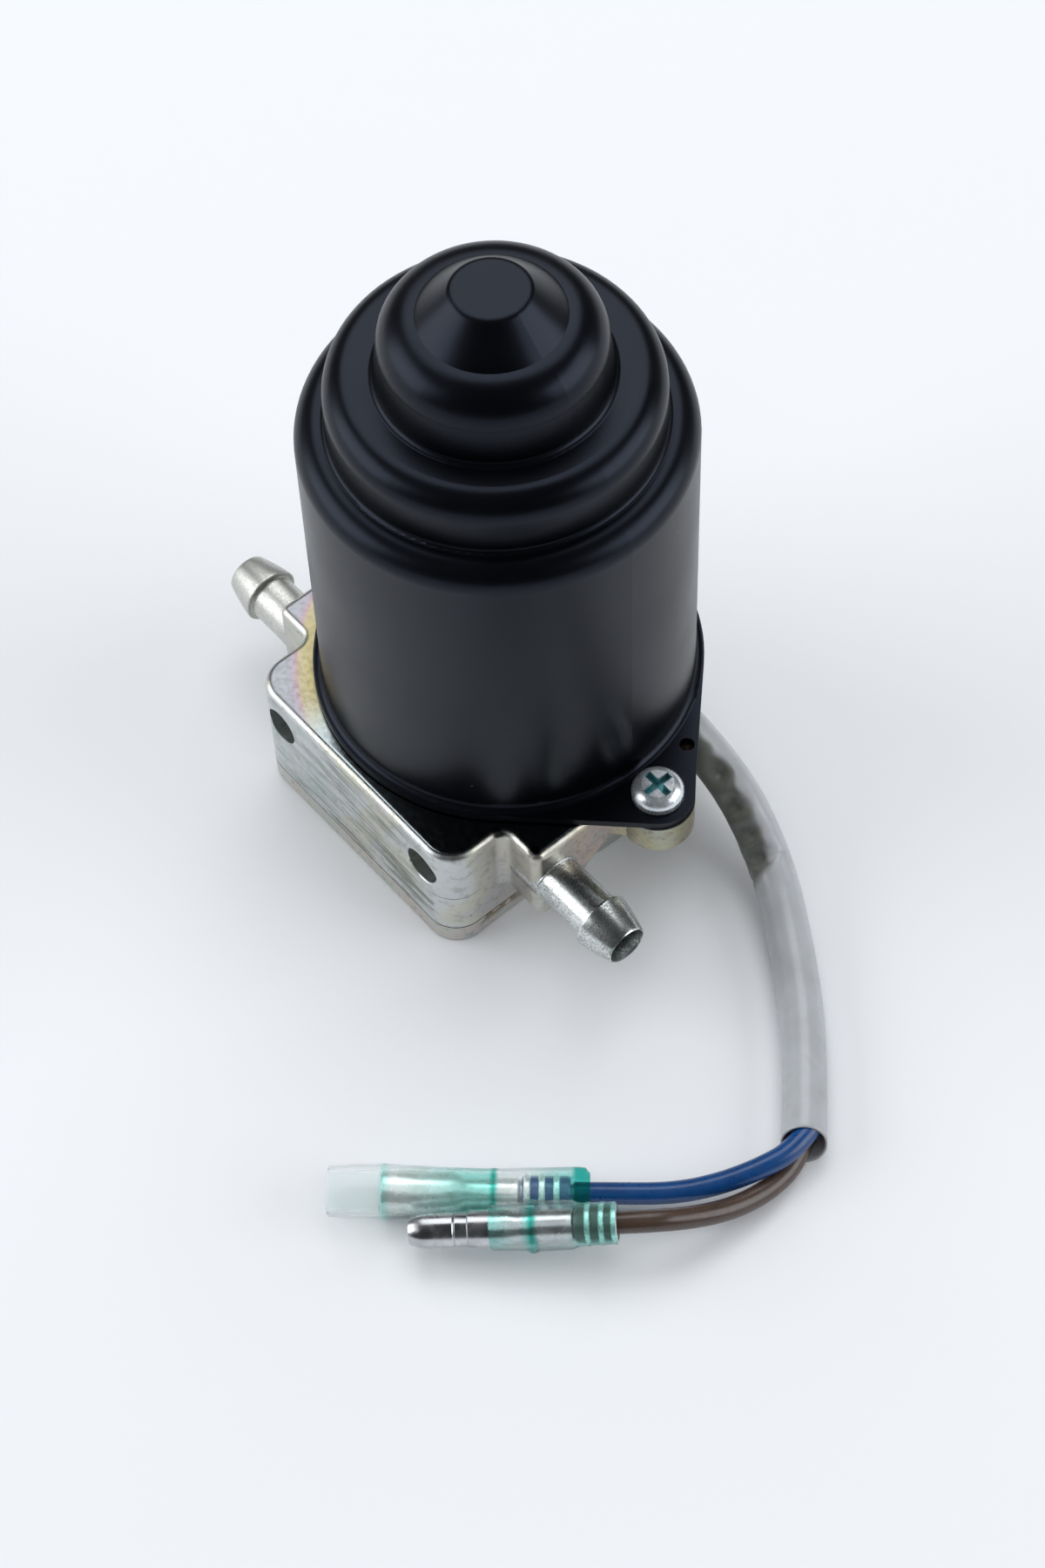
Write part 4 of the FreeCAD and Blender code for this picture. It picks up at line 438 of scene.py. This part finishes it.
for name, heading, seat, stem, barb_at in (
        ("front_hose_nozzle", 1, 3.18, 2.97, 31.9), ("back_hose_nozzle", -1, 3.08, 3.04, 30.2)):
    face, relieved = CASTING_FACE
    profile = [(NOZZLE_ROOT, NOZZLE_BORE), (NOZZLE_ROOT, seat), (face, seat), (relieved, stem),
               (barb_at - 0.08, stem), (barb_at, stem + 0.08)]
    profile += [(barb_at + along, radius) for along, radius in BARB]
    nozzle = turned_piece(name + "_turned", profile, (0.0, NOZZLE_Y, NOZZLE_Z), (heading, 0, 0))
    nozzle.data.materials.append(mottled_zinc)
    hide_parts(name)

# Bottom cover and its gasket
# A plated steel plate, speckled where the film has worn, screwed up against the body over a thin
# dark gasket, with a brown stain of dried sealant beside the block.
STAIN_COLOUR = (0.16, 0.10, 0.03)
cover_plate = new_finish("cover_plate", Metallic=0.85)
tree = cover_plate.node_tree
place = object_place(tree)
x, y, z = [coordinate(tree, place, axis) for axis in "XYZ"]
speckle = noise(tree, place, 1300.0, detail=4.0)
cloud = noise(tree, place, 120.0, detail=2.0)
plate_tint = ramp(tree, cloud, [
    (0.35, (0.52, 0.56, 0.51)), (0.5, (0.58, 0.58, 0.54)), (0.62, (0.60, 0.54, 0.50)),
    (0.7, (0.54, 0.57, 0.56))])
chipped = product(tree, rise(tree, speckle, 0.58, 0.70), 0.7)
stain_place = product(tree, rise(tree, x, 0.0176, 0.0180), rise(tree, y, -0.0215, -0.0195),
                      fall(tree, y, -0.0150, -0.0120))
dried = rise(tree, noise(tree, place, 700.0), 0.46, 0.56)
stain = product(tree, stain_place, dried, rise(tree, z, 0.0012, 0.0026))
speckled = blend(tree, chipped, plate_tint, (0.30, 0.29, 0.23))
wire(cover_plate,
     Base_Color=blend(tree, product(tree, stain, 0.8), speckled, STAIN_COLOUR),
     Roughness=rise(tree, speckle, 0.35, 0.7, 0.36, 0.55),
     Normal=relief(tree, speckle, 0.3, 0.00005))
wear(cover_plate, "bottom_cover")
gasket_sheet = new_finish("gasket_sheet", Roughness=0.8)
tree = gasket_sheet.node_tree
fibre = noise(tree, object_place(tree), 1500.0)
wire(gasket_sheet,
     Base_Color=ramp(tree, fibre, [(0.4, (0.02, 0.018, 0.012)), (0.65, (0.07, 0.05, 0.02))]),
     Normal=relief(tree, fibre, 0.4, 0.00005))
wear(gasket_sheet, "cover_gasket")

# Screws
# Pan head and countersunk screws in bright blue-white zinc. In the cross recess the passivation
# pools to a deep teal.
EAR_SCREW = 0.0270
RECESS_RADIUS = (0.0021, 0.0023)
RECESS_FLOOR = (0.0199, 0.0200)
RECESS_MOUTH = (0.02150, 0.02180)
screw_zinc = new_finish("screw_zinc", Metallic=0.78)
tree = screw_zinc.node_tree
place = object_place(tree)
x, y, z = [coordinate(tree, place, axis) for axis in "XYZ"]
from_ear = maths(tree, "SUBTRACT", maths(tree, "ABSOLUTE", x), EAR_SCREW)
pooled = product(tree, fall(tree, reach(tree, from_ear, y), *RECESS_RADIUS),
                 fall(tree, z, *RECESS_MOUTH), rise(tree, z, *RECESS_FLOOR))
turning = noise(tree, place, 900.0, detail=3.0)
plated = ramp(tree, turning, [(0.35, (0.66, 0.72, 0.77)), (0.6, (0.84, 0.88, 0.91))])
wire(screw_zinc,
     Base_Color=blend(tree, pooled, plated, (0.16, 0.44, 0.48)),
     Roughness=rise(tree, turning, 0.3, 0.7, 0.20, 0.32),
     Normal=relief(tree, turning, 0.12, 0.00004))
wear(screw_zinc, "flange_screws", "cover_screws", "brush_plate_screws")

# Cable grommet and shaft seal
# Moulded black rubber with a fine bloom. The grommet is pushed into the casting's outlet round
# the sleeve, and the seal into its bore round the shaft.
black_rubber = new_finish("black_rubber", Roughness=0.6, Specular_IOR_Level=0.3)
tree = black_rubber.node_tree
bloom = noise(tree, object_place(tree), 600.0)
wire(black_rubber,
     Base_Color=ramp(tree, bloom, [(0.35, (0.010, 0.010, 0.011)), (0.7, (0.028, 0.028, 0.030))]),
     Roughness=rise(tree, bloom, 0.3, 0.7, 0.5, 0.72),
     Normal=relief(tree, bloom, 0.2, 0.00003))
wear(black_rubber, "cable_grommet", "shaft_seal")

# Cable sleeve
# A thin-walled tube of soft grey vinyl round both leads. It leaves the casting through a
# grommet, is dented and creased where it turns down, and lies on the table to its open mouth.
SLEEVE_ROUTE = [
    (0.0144, 0.0130, 0.0105),
    (0.0246, 0.01295, 0.0098),
    (0.0355, 0.0108, 0.0046),
    (0.0470, 0.0041, 0.00275),
    (0.0570, -0.0033, 0.00272),
    (0.0658, -0.0118, 0.00271),
]
SLEEVE_DIAMETER = 0.0054
SLEEVE_WALL = 0.00025
SLEEVE_ROUNDNESS = 28
# Each dent: its place along the sleeve, its angle from the top, its depth, its length and spread
DENTS = [
    (0.0062, 1.2, 0.00050, 0.0016, 0.6),
    (0.0107, 0.60, 0.00125, 0.0014, 0.55),
    (0.0149, 0.85, 0.00135, 0.0013, 0.6),
    (0.0188, 0.75, 0.00105, 0.0016, 0.6),
    (0.0222, 0.70, 0.00140, 0.0013, 0.7),
]
CREASE_AT = 0.0232
CREASE_DEPTH = 0.00030
CREASE_HALF = 0.0005
FLARE_AT = 0.0565
FLARE_RUN = 0.0038
FLARE_RISE = 0.00022
SLANT_AT = 0.0570
SLANT_RUN = 0.0033


def along_route(name, points, radius=0.0, detail=12, smoothness=12):
    """A curve that a cord's centre follows, drawn round with that radius."""
    line = bpy.data.curves.new(name, "CURVE")
    line.dimensions = "3D"
    line.bevel_depth = radius
    line.bevel_resolution = detail
    line.resolution_u = smoothness
    spline = line.splines.new("NURBS")
    spline.points.add(len(points) - 1)
    for point, place in zip(spline.points, points):
        point.co = (*place, 1.0)
    spline.order_u = 3
    spline.use_endpoint_u = True
    holder = bpy.data.objects.new(name, line)
    bpy.context.scene.collection.objects.link(holder)
    return holder


def centre_points(route_curve):
    """The points of a curve with no thickness, in order."""
    mesh = bpy.data.meshes.new_from_object(route_curve)
    points = [vertex.co.copy() for vertex in mesh.vertices]
    bpy.data.meshes.remove(mesh)
    return points


def pressed_in(along, angle):
    """How far the sleeve's wall is pressed in at a place, with a ridge round each dent."""
    pressed = 0.0
    for centre, side, depth, length, spread in DENTS:
        turned = math.remainder(angle - side, 2 * math.pi)
        away = ((along - centre) / length) ** 2 + (turned / spread) ** 2
        pressed += depth * (1.0 - 0.45 * away) * math.exp(-0.7 * away)
    from_crease = abs(along - CREASE_AT - 0.0014 * math.sin(angle))
    crease = max(0.0, 1.0 - from_crease / CREASE_HALF) * max(0.0, math.cos(angle - 0.7))
    flare = max(0.0, (along - FLARE_AT) / FLARE_RUN) * max(0.0, math.cos(angle))
    return pressed + CREASE_DEPTH * crease - FLARE_RISE * flare


sleeve_line = along_route("sleeve_line", SLEEVE_ROUTE, smoothness=48)
sleeve_points = centre_points(sleeve_line)
sleeve_line.data.bevel_depth = SLEEVE_DIAMETER / 2
sleeve_line.data.bevel_resolution = SLEEVE_ROUNDNESS
sleeve_mesh = bpy.data.meshes.new_from_object(sleeve_line)
sleeve_mesh.name = "grey_cable_sleeve"
bpy.data.objects.remove(sleeve_line)
travelled = [0.0]
for before, after in zip(sleeve_points, sleeve_points[1:]):
    travelled.append(travelled[-1] + (after - before).length)
finder = kdtree.KDTree(len(sleeve_points))
for index, point in enumerate(sleeve_points):
    finder.insert(point, index)
finder.balance()
for corner in sleeve_mesh.vertices:
    centre, index, _ = finder.find(corner.co)
    along = travelled[index]
    before = sleeve_points[max(index - 1, 0)]
    after = sleeve_points[min(index + 1, len(sleeve_points) - 1)]
    heading = (after - before).normalized()
    side = heading.cross(Vector((0.0, 0.0, 1.0))).normalized()
    outward = (corner.co - centre).normalized()
    angle = math.atan2(outward.dot(side), outward.dot(side.cross(heading)))
    slant = max(0.0, (along - SLANT_AT) / SLANT_RUN) * (0.0002 - 0.0009 * math.cos(angle))
    corner.co += heading * slant - outward * pressed_in(along, angle)
for polygon in sleeve_mesh.polygons:
    polygon.use_smooth = True
cable_sleeve = bpy.data.objects.new("grey_cable_sleeve", sleeve_mesh)
bpy.context.scene.collection.objects.link(cable_sleeve)
wall = cable_sleeve.modifiers.new("wall", "SOLIDIFY")
wall.thickness = SLEEVE_WALL
wall.offset = -1.0
sleeve_vinyl = new_finish("sleeve_vinyl", Specular_IOR_Level=0.45, Subsurface_Weight=0.12,
                          Subsurface_Scale=0.0006)
tree = sleeve_vinyl.node_tree
place = object_place(tree)
x, y = [coordinate(tree, place, axis) for axis in "XY"]
handling = noise(tree, place, 160.0, detail=3.0)
fine = noise(tree, place, 700.0, detail=2.0)
grime = scattered(tree, place, 260.0, 0.03, 0.05, 140.0, 0.58, 0.62)
vinyl = ramp(tree, handling, [
    (0.3, (0.36, 0.37, 0.38)), (0.6, (0.42, 0.43, 0.45)), (0.75, (0.38, 0.39, 0.39))])
# Painted shade: the side towards the pump is darker as far as the crease, with a wavy edge along
# the bend
bend = maths(tree, "POWER", maths(tree, "MAXIMUM", maths(tree, "SUBTRACT", x, 0.020), 0.0), 2.0)
beside = maths(tree, "ADD", y, product(tree, bend, 11.0))
ripple = product(tree, noise(tree, place, 330.0, detail=1.0), 0.0022)
painted_pump_side_shade = product(tree, fall(tree, maths(tree, "ADD", beside, ripple), 0.0132, 0.0142),
                 fall(tree, x, 0.0366, 0.0382), 0.82)
vinyl = blend(tree, painted_pump_side_shade, vinyl, (0.085, 0.092, 0.070))
wire(sleeve_vinyl,
     Base_Color=blend(tree, product(tree, grime, 0.6), vinyl, (0.12, 0.12, 0.10)),
     Roughness=rise(tree, fine, 0.3, 0.7, 0.18, 0.26),
     Normal=relief(tree, fine, 0.08, 0.00005))
sleeve_mesh.materials.append(sleeve_vinyl)
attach(cable_sleeve, "root")
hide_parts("cable_sleeve")


# Insulation
# Smooth glossy vinyl, drawn over the strands and faintly clouded and rippled by them. The blue
# lead, the brown lead and their ends inside the casing share it.
def insulation(name, light, dark):
    """Glossy vinyl that clouds between two colours."""
    finish = new_finish(name, Specular_IOR_Level=0.5, Coat_Weight=0.25, Coat_Roughness=0.2)
    tree = finish.node_tree
    place = object_place(tree)
    cloud = noise(tree, place, 220.0, detail=2.0)
    ripple = noise(tree, place, 1100.0, detail=2.0)
    wire(finish,
         Base_Color=ramp(tree, cloud, [(0.3, dark), (0.7, light)]),
         Roughness=rise(tree, ripple, 0.3, 0.7, 0.26, 0.36),
         Normal=relief(tree, ripple, 0.12, 0.00005))
    return finish


blue_vinyl = insulation("blue_vinyl", (0.002, 0.054, 0.20), (0.001, 0.036, 0.14))
brown_vinyl = insulation("brown_vinyl", (0.070, 0.042, 0.030), (0.048, 0.029, 0.021))
wear(blue_vinyl, "blue_lead_tail")
wear(brown_vinyl, "brown_lead_tail")


# Socket connector
# A bullet socket of tinned brass on the blue lead, in a clear sleeve with a pale green cast: an
# open mouth, the socket's barrel, a neck, then a crimp whose three bands grip the insulation.
def distance_along(tree, origin, axis):
    """Millimetres along a piece's own axis from its open end."""
    values = {0: object_place(tree), 1: origin}
    offset = step(tree, "ShaderNodeVectorMath", values, operation="SUBTRACT")
    metres = step(tree, "ShaderNodeVectorMath", {0: offset, 1: axis}, output="Value",
                  operation="DOT_PRODUCT")
    return product(tree, metres, 1000.0)


def clear_vinyl(name, origin, axis, length, stops):
    """Clear soft vinyl, tinted along its length by stops of a distance and a colour."""
    finish = new_finish(name, Transmission_Weight=0.95, IOR=1.12, Specular_IOR_Level=0.9)
    tree = finish.node_tree
    tint = ramp(tree, maths(tree, "DIVIDE", distance_along(tree, origin, axis), length),
                [(along / length, colour) for along, colour in stops])
    haze = noise(tree, object_place(tree), 420.0, detail=3.0)
    red = step(tree, "ShaderNodeSeparateColor", {0: tint})
    wire(finish,
         Base_Color=tint,
         Alpha=rise(tree, red, 0.0, 1.0, 0.96, 0.50),
         Roughness=rise(tree, haze, 0.3, 0.7, 0.08, 0.18),
         Normal=relief(tree, haze, 0.25, 0.00012))
    return finish


def tinned_metal(name, metal, light, dark):
    """Tinned brass, rubbed between two colours."""
    finish = new_finish(name, Metallic=metal)
    tree = finish.node_tree
    rub_marks = noise(tree, object_place(tree), 420.0, detail=3.0)
    wire(finish,
         Base_Color=ramp(tree, rub_marks, [(0.35, dark), (0.6, light)]),
         Roughness=rise(tree, rub_marks, 0.3, 0.7, 0.20, 0.32),
         Normal=relief(tree, rub_marks, 0.12, 0.00004))
    return finish


def crimp_bands(name, places, outline, origin, axis):
    """Bright bands of one outline that grip the insulation, one at each place along the axis."""
    bands = []
    for number, along in enumerate(places, start=1):
        profile = [(along + offset, radius) for offset, radius in outline]
        band = turned_piece("%s_%d" % (name, number), profile, origin, axis)
        band.data.materials.append(tinned)
        bands.append(band)
    return bands


tinned = tinned_metal("tinned_brass", 0.6, (0.84, 0.85, 0.84), (0.66, 0.67, 0.65))
PALE = (0.93, 0.99, 0.98)
AQUA = (0.52, 0.92, 0.86)
TEAL = (0.04, 0.58, 0.50)
SOCKET_FRONT = (0.03459, -0.05716, 0.00322)
SOCKET_AXIS = (0.664974, 0.746867, 0.0)
SOCKET_SLEEVE_END = 30.1
socket_metal = turned_piece("socket_barrel", [
    (6.3, 2.05), (6.3, 2.42), (6.5, 2.5), (11.4, 2.5), (12.2, 2.42), (14.6, 2.36), (15.8, 1.7),
    (19.0, 1.62), (19.8, 1.75), (21.8, 1.8), (22.2, 1.45), (26.6, 1.45), (26.6, 0.1), (13.0, 0.1),
    (13.0, 2.05)], SOCKET_FRONT, SOCKET_AXIS)
socket_metal.data.materials.append(tinned)
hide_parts("blue_terminal")
socket_core = turned_piece("socket_insulation", [
    (22.3, 0.1), (22.3, 1.75), (22.6, 1.95), (27.6, 1.95), (28.2, 1.5), (28.2, 0.1)],
    SOCKET_FRONT, SOCKET_AXIS)
socket_core.data.materials.append(blue_vinyl)
socket_bands = crimp_bands("socket_crimp_band", (22.9, 24.6, 26.3), [
    (-0.42, 1.9), (-0.3, 2.12), (0.0, 2.2), (0.3, 2.12), (0.42, 1.9)], SOCKET_FRONT, SOCKET_AXIS)
socket_sleeve = turned_piece("socket_clear_sleeve", [
    (0.0, 2.35), (0.0, 2.75), (0.25, 2.92), (3.0, 3.1), (6.0, 3.18), (6.6, 3.22), (7.1, 3.16),
    (9.0, 3.06), (12.5, 2.88), (16.0, 2.76), (18.6, 2.72), (18.9, 2.78), (19.5, 2.78),
    (19.8, 2.72), (23.0, 2.86), (28.9, 3.0), (29.6, 2.9), (SOCKET_SLEEVE_END, 2.3),
    (SOCKET_SLEEVE_END, 1.34), (28.3, 1.34), (27.9, 2.3), (20.0, 2.22), (16.0, 2.2), (14.7, 2.54),
    (6.2, 2.56), (6.0, 2.35)], SOCKET_FRONT, SOCKET_AXIS)
socket_vinyl = clear_vinyl("socket_vinyl", SOCKET_FRONT, SOCKET_AXIS, SOCKET_SLEEVE_END, [
    (0.0, PALE), (5.8, PALE), (6.4, AQUA), (7.4, PALE), (16.0, AQUA), (18.5, AQUA), (19.1, TEAL),
    (19.6, PALE), (22.0, PALE), (26.5, AQUA), (27.9, AQUA), (28.4, TEAL),
    (SOCKET_SLEEVE_END, TEAL)])
socket_sleeve.data.materials.append(socket_vinyl)
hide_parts("blue_terminal_sleeve")

# Pin connector
# A hollow-tipped bullet pin on the brown lead. Its clear sleeve has a collar, and a ribbed tail
# through which the brown insulation shows between bright bands.
PIN_FRONT = (0.04513, -0.05355, 0.00426)
PIN_AXIS = (0.660051, 0.743484, 0.107536)
PIN_SLEEVE_END = 23.7
pin_metal = turned_piece("bullet_pin", [
    (0.0, 1.2), (0.0, 1.52), (0.15, 1.62), (0.9, 1.86), (1.8, 2.0), (5.1, 2.02), (5.25, 1.9),
    (5.4, 2.0), (6.75, 1.96), (6.9, 2.1), (7.3, 2.12), (11.3, 2.1), (12.6, 1.8), (14.6, 1.9),
    (18.6, 1.9), (19.0, 1.5), (21.2, 1.5), (21.2, 0.1), (4.0, 0.1), (4.0, 1.2)],
    PIN_FRONT, PIN_AXIS)
polished_pin = tinned_metal("polished_pin", 1.0, (0.60, 0.61, 0.63), (0.44, 0.45, 0.47))
pin_metal.data.materials.append(polished_pin)
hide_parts("brown_terminal")
pin_core = turned_piece("pin_insulation", [
    (18.9, 0.1), (18.9, 1.9), (19.2, 2.08), (23.3, 2.08), (23.6, 1.6), (23.6, 0.1)],
    PIN_FRONT, PIN_AXIS)
pin_core.data.materials.append(brown_vinyl)
pin_bands = crimp_bands("pin_crimp_band", (20.4, 22.0, 23.4), [
    (-0.35, 2.0), (-0.25, 2.2), (0.0, 2.26), (0.25, 2.2), (0.35, 2.0)], PIN_FRONT, PIN_AXIS)
pin_sleeve = turned_piece("pin_clear_sleeve", [
    (9.3, 2.15), (9.3, 2.45), (9.5, 2.58), (13.4, 2.74), (13.8, 3.02), (14.2, 3.08), (14.5, 2.98),
    (14.8, 2.86), (18.6, 2.82), (19.0, 2.62), (19.4, 2.46), (20.1, 2.44), (20.4, 2.52),
    (20.9, 2.42), (21.7, 2.42), (22.0, 2.5), (22.5, 2.4), (23.2, 2.4), (23.5, 2.46),
    (PIN_SLEEVE_END, 2.2), (PIN_SLEEVE_END, 1.34), (23.6, 2.3), (19.0, 2.3), (18.0, 2.2),
    (11.6, 2.2), (11.4, 2.15)], PIN_FRONT, PIN_AXIS)
pin_vinyl = clear_vinyl("pin_vinyl", PIN_FRONT, PIN_AXIS, PIN_SLEEVE_END, [
    (9.3, AQUA), (12.6, PALE), (13.6, AQUA), (14.2, TEAL), (14.7, PALE), (18.2, PALE),
    (19.2, AQUA), (PIN_SLEEVE_END, AQUA)])
pin_sleeve.data.materials.append(pin_vinyl)
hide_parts("brown_terminal_sleeve")

# Leads
# Two stranded wires, blue and brown, one lying over the other, which turn tightly out of the
# sleeve's mouth to their bullet connectors.
LEAD_DIAMETER = 0.0026
BLUE_ROUTE = [
    (0.0653, -0.0103, 0.00405),
    (0.06615, -0.0139, 0.00405),
    (0.0653, -0.0182, 0.0039),
    (0.0636, -0.0229, 0.0036),
    (0.0609, -0.0276, 0.0033),
    (0.05634, -0.03273, 0.00322),
    (0.05228, -0.03729, 0.00322),
]
BROWN_ROUTE = [
    (0.0646, -0.0102, 0.00135),
    (0.0664, -0.01354, 0.00133),
    (0.0672, -0.01796, 0.0017),
    (0.06685, -0.02321, 0.0030),
    (0.06534, -0.02842, 0.0050),
    (0.06268, -0.03378, 0.00712),
    (0.05912, -0.03779, 0.00654),
]
blue_lead = along_route("blue_wire", BLUE_ROUTE, LEAD_DIAMETER / 2)
brown_lead = along_route("brown_wire", BROWN_ROUTE, LEAD_DIAMETER / 2)
for lead, vinyl, name, slot_name in ((blue_lead, blue_vinyl, "blue_lead", "blue_insulation"),
                                     (brown_lead, brown_vinyl, "brown_lead", "brown_insulation")):
    lead.data.use_fill_caps = True
    lead.data.materials.append(vinyl)
    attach(lead, "root")
    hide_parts(name)


# Gears
# A pair of equal gears pressed and sintered from steel powder, faintly porous, one keyed to the
# shaft and one free on its pin.
def grained(name, light, dark, scale, smooth, rough, stretch=(1.0, 1.0, 1.0), depth=0.00004,
            **fixed):
    """A finish whose colour, roughness and relief all follow one grain."""
    finish = new_finish(name, **fixed)
    tree = finish.node_tree
    grain = noise(tree, object_place(tree), scale, stretch, detail=5.0)
    wire(finish,
         Base_Color=ramp(tree, grain, [(0.34, dark), (0.64, light)]),
         Roughness=rise(tree, grain, 0.3, 0.7, smooth, rough),
         Normal=relief(tree, grain, 0.3, depth))
    return finish


sintered = grained("sintered_steel", (0.50, 0.49, 0.47), (0.26, 0.25, 0.24), 2400.0, 0.32, 0.55,
                   Metallic=1.0)
wear(sintered, "drive_gear", "driven_gear")

# Shaft, pin, key, ball and spring steel
# Ground steel with fine marks round the axis, and beside it the hardened spring steel of the
# clips, the washer and the brush springs.
ground_steel = grained("ground_steel", (0.66, 0.66, 0.67), (0.46, 0.46, 0.47), 1800.0, 0.14, 0.26,
                       (1.0, 1.0, 6.0), 0.00002, Metallic=1.0)
wear(ground_steel, "armature_shaft", "idler_pin", "drive_key", "thrust_ball")
spring_steel = grained("spring_steel", (0.42, 0.43, 0.46), (0.24, 0.25, 0.28), 1200.0, 0.26, 0.42,
                       Metallic=1.0)
wear(spring_steel, "bush_retainer", "back_magnet_clip", "front_magnet_clip",
     "right_brush_spring", "left_brush_spring")

# Bushes
# Oil-soaked sintered bronze, pressed to shape and darker in its pores. The lower one is pressed
# into the casting, and the round upper one lines itself up with the shaft in the can's nub.
bronze = grained("sintered_bronze", (0.58, 0.38, 0.17), (0.28, 0.17, 0.07), 2600.0, 0.3, 0.5,
                 Metallic=1.0)
wear(bronze, "lower_bush", "upper_bush")

# Armature core
# Thin steel laminations with slots for the wire, each with a dark edge, stacked and pressed
# onto the shaft.
LAMINATION_HALF = 0.00025
lamination_steel = new_finish("lamination_steel", Metallic=1.0)
tree = lamination_steel.node_tree
place = object_place(tree)
layer = maths(tree, "PINGPONG", coordinate(tree, place, "Z"), LAMINATION_HALF)
edge = fall(tree, layer, 0.00003, 0.00007)
rust = noise(tree, place, 500.0)
steel = ramp(tree, rust, [(0.35, (0.20, 0.19, 0.19)), (0.65, (0.36, 0.35, 0.35))])
wire(lamination_steel,
     Base_Color=blend(tree, edge, steel, (0.04, 0.035, 0.035)),
     Roughness=rise(tree, rust, 0.3, 0.7, 0.35, 0.55),
     Normal=relief(tree, maths(tree, "SUBTRACT", 1.0, edge), 0.6, 0.00003))
wear(lamination_steel, "armature_core")

# Winding
# Enamelled copper wire, laid in close turns through the core's slots and over its ends, under
# a coat of varnish.
enamel = new_finish("enamelled_copper", Metallic=0.9, Coat_Weight=0.6, Coat_Roughness=0.15)
tree = enamel.node_tree
laid = {"Vector": object_place(tree), "Scale": 480.0, "Distortion": 2.5, "Detail": 1.0}
turns = step(tree, "ShaderNodeTexWave", laid, bands_direction="DIAGONAL")
# The colour runs dark in painted shade between the turns
wire(enamel,
     Base_Color=ramp(tree, turns, [
         (0.1, (0.16, 0.045, 0.015)), (0.6, (0.52, 0.20, 0.08)), (0.9, (0.66, 0.30, 0.13))]),
     Roughness=rise(tree, turns, 0.0, 1.0, 0.40, 0.25),
     Normal=relief(tree, turns, 0.8, 0.00012))
wear(enamel, "armature_winding")

# Commutator, hub and brush plate
# Turned copper bars on a moulded hub that is pressed onto the shaft, and a round phenolic board
# that shows its paper fibres, held by two screws.
turned_copper = grained("turned_copper", (0.72, 0.38, 0.22), (0.50, 0.24, 0.13), 1600.0, 0.2, 0.36,
                        (1.0, 1.0, 8.0), 0.00003, Metallic=1.0)
wear(turned_copper, "commutator")
phenolic = grained("brown_phenolic", (0.20, 0.10, 0.045), (0.12, 0.055, 0.022), 700.0, 0.45, 0.6,
                   (0.15, 1.0, 1.0))
wear(phenolic, "brush_plate", "commutator_hub")

# Magnets
# Two arcs of pressed ferrite, matt and faintly speckled, wedged against the can's wall by
# spring clips.
ferrite = grained("pressed_ferrite", (0.060, 0.060, 0.064), (0.030, 0.030, 0.033), 900.0,
                  0.55, 0.75)
wear(ferrite, "right_magnet", "left_magnet")

# Brush gear
# Pressed brass boxes and terminals on the board, and carbon brushes flecked with copper, which
# springs push onto the commutator.
pressed_brass = grained("pressed_brass", (0.74, 0.56, 0.24), (0.56, 0.40, 0.15), 1000.0, 0.24, 0.4,
                        (1.0, 1.0, 0.3), Metallic=1.0)
wear(pressed_brass, "right_brush_box", "left_brush_box", "right_brush_terminal",
     "left_brush_terminal")
carbon = new_finish("copper_carbon", Roughness=0.6)
tree = carbon.node_tree
flecks = step(tree, "ShaderNodeTexVoronoi", {"Vector": object_place(tree), "Scale": 3200.0},
              output="Distance")
fleck = rise(tree, flecks, 0.18, 0.28)
wire(carbon,
     Base_Color=blend(tree, fleck, (0.028, 0.027, 0.027), (0.30, 0.14, 0.07)),
     Metallic=fleck,
     Normal=relief(tree, flecks, 0.3, 0.00004))
wear(carbon, "right_brush", "left_brush")
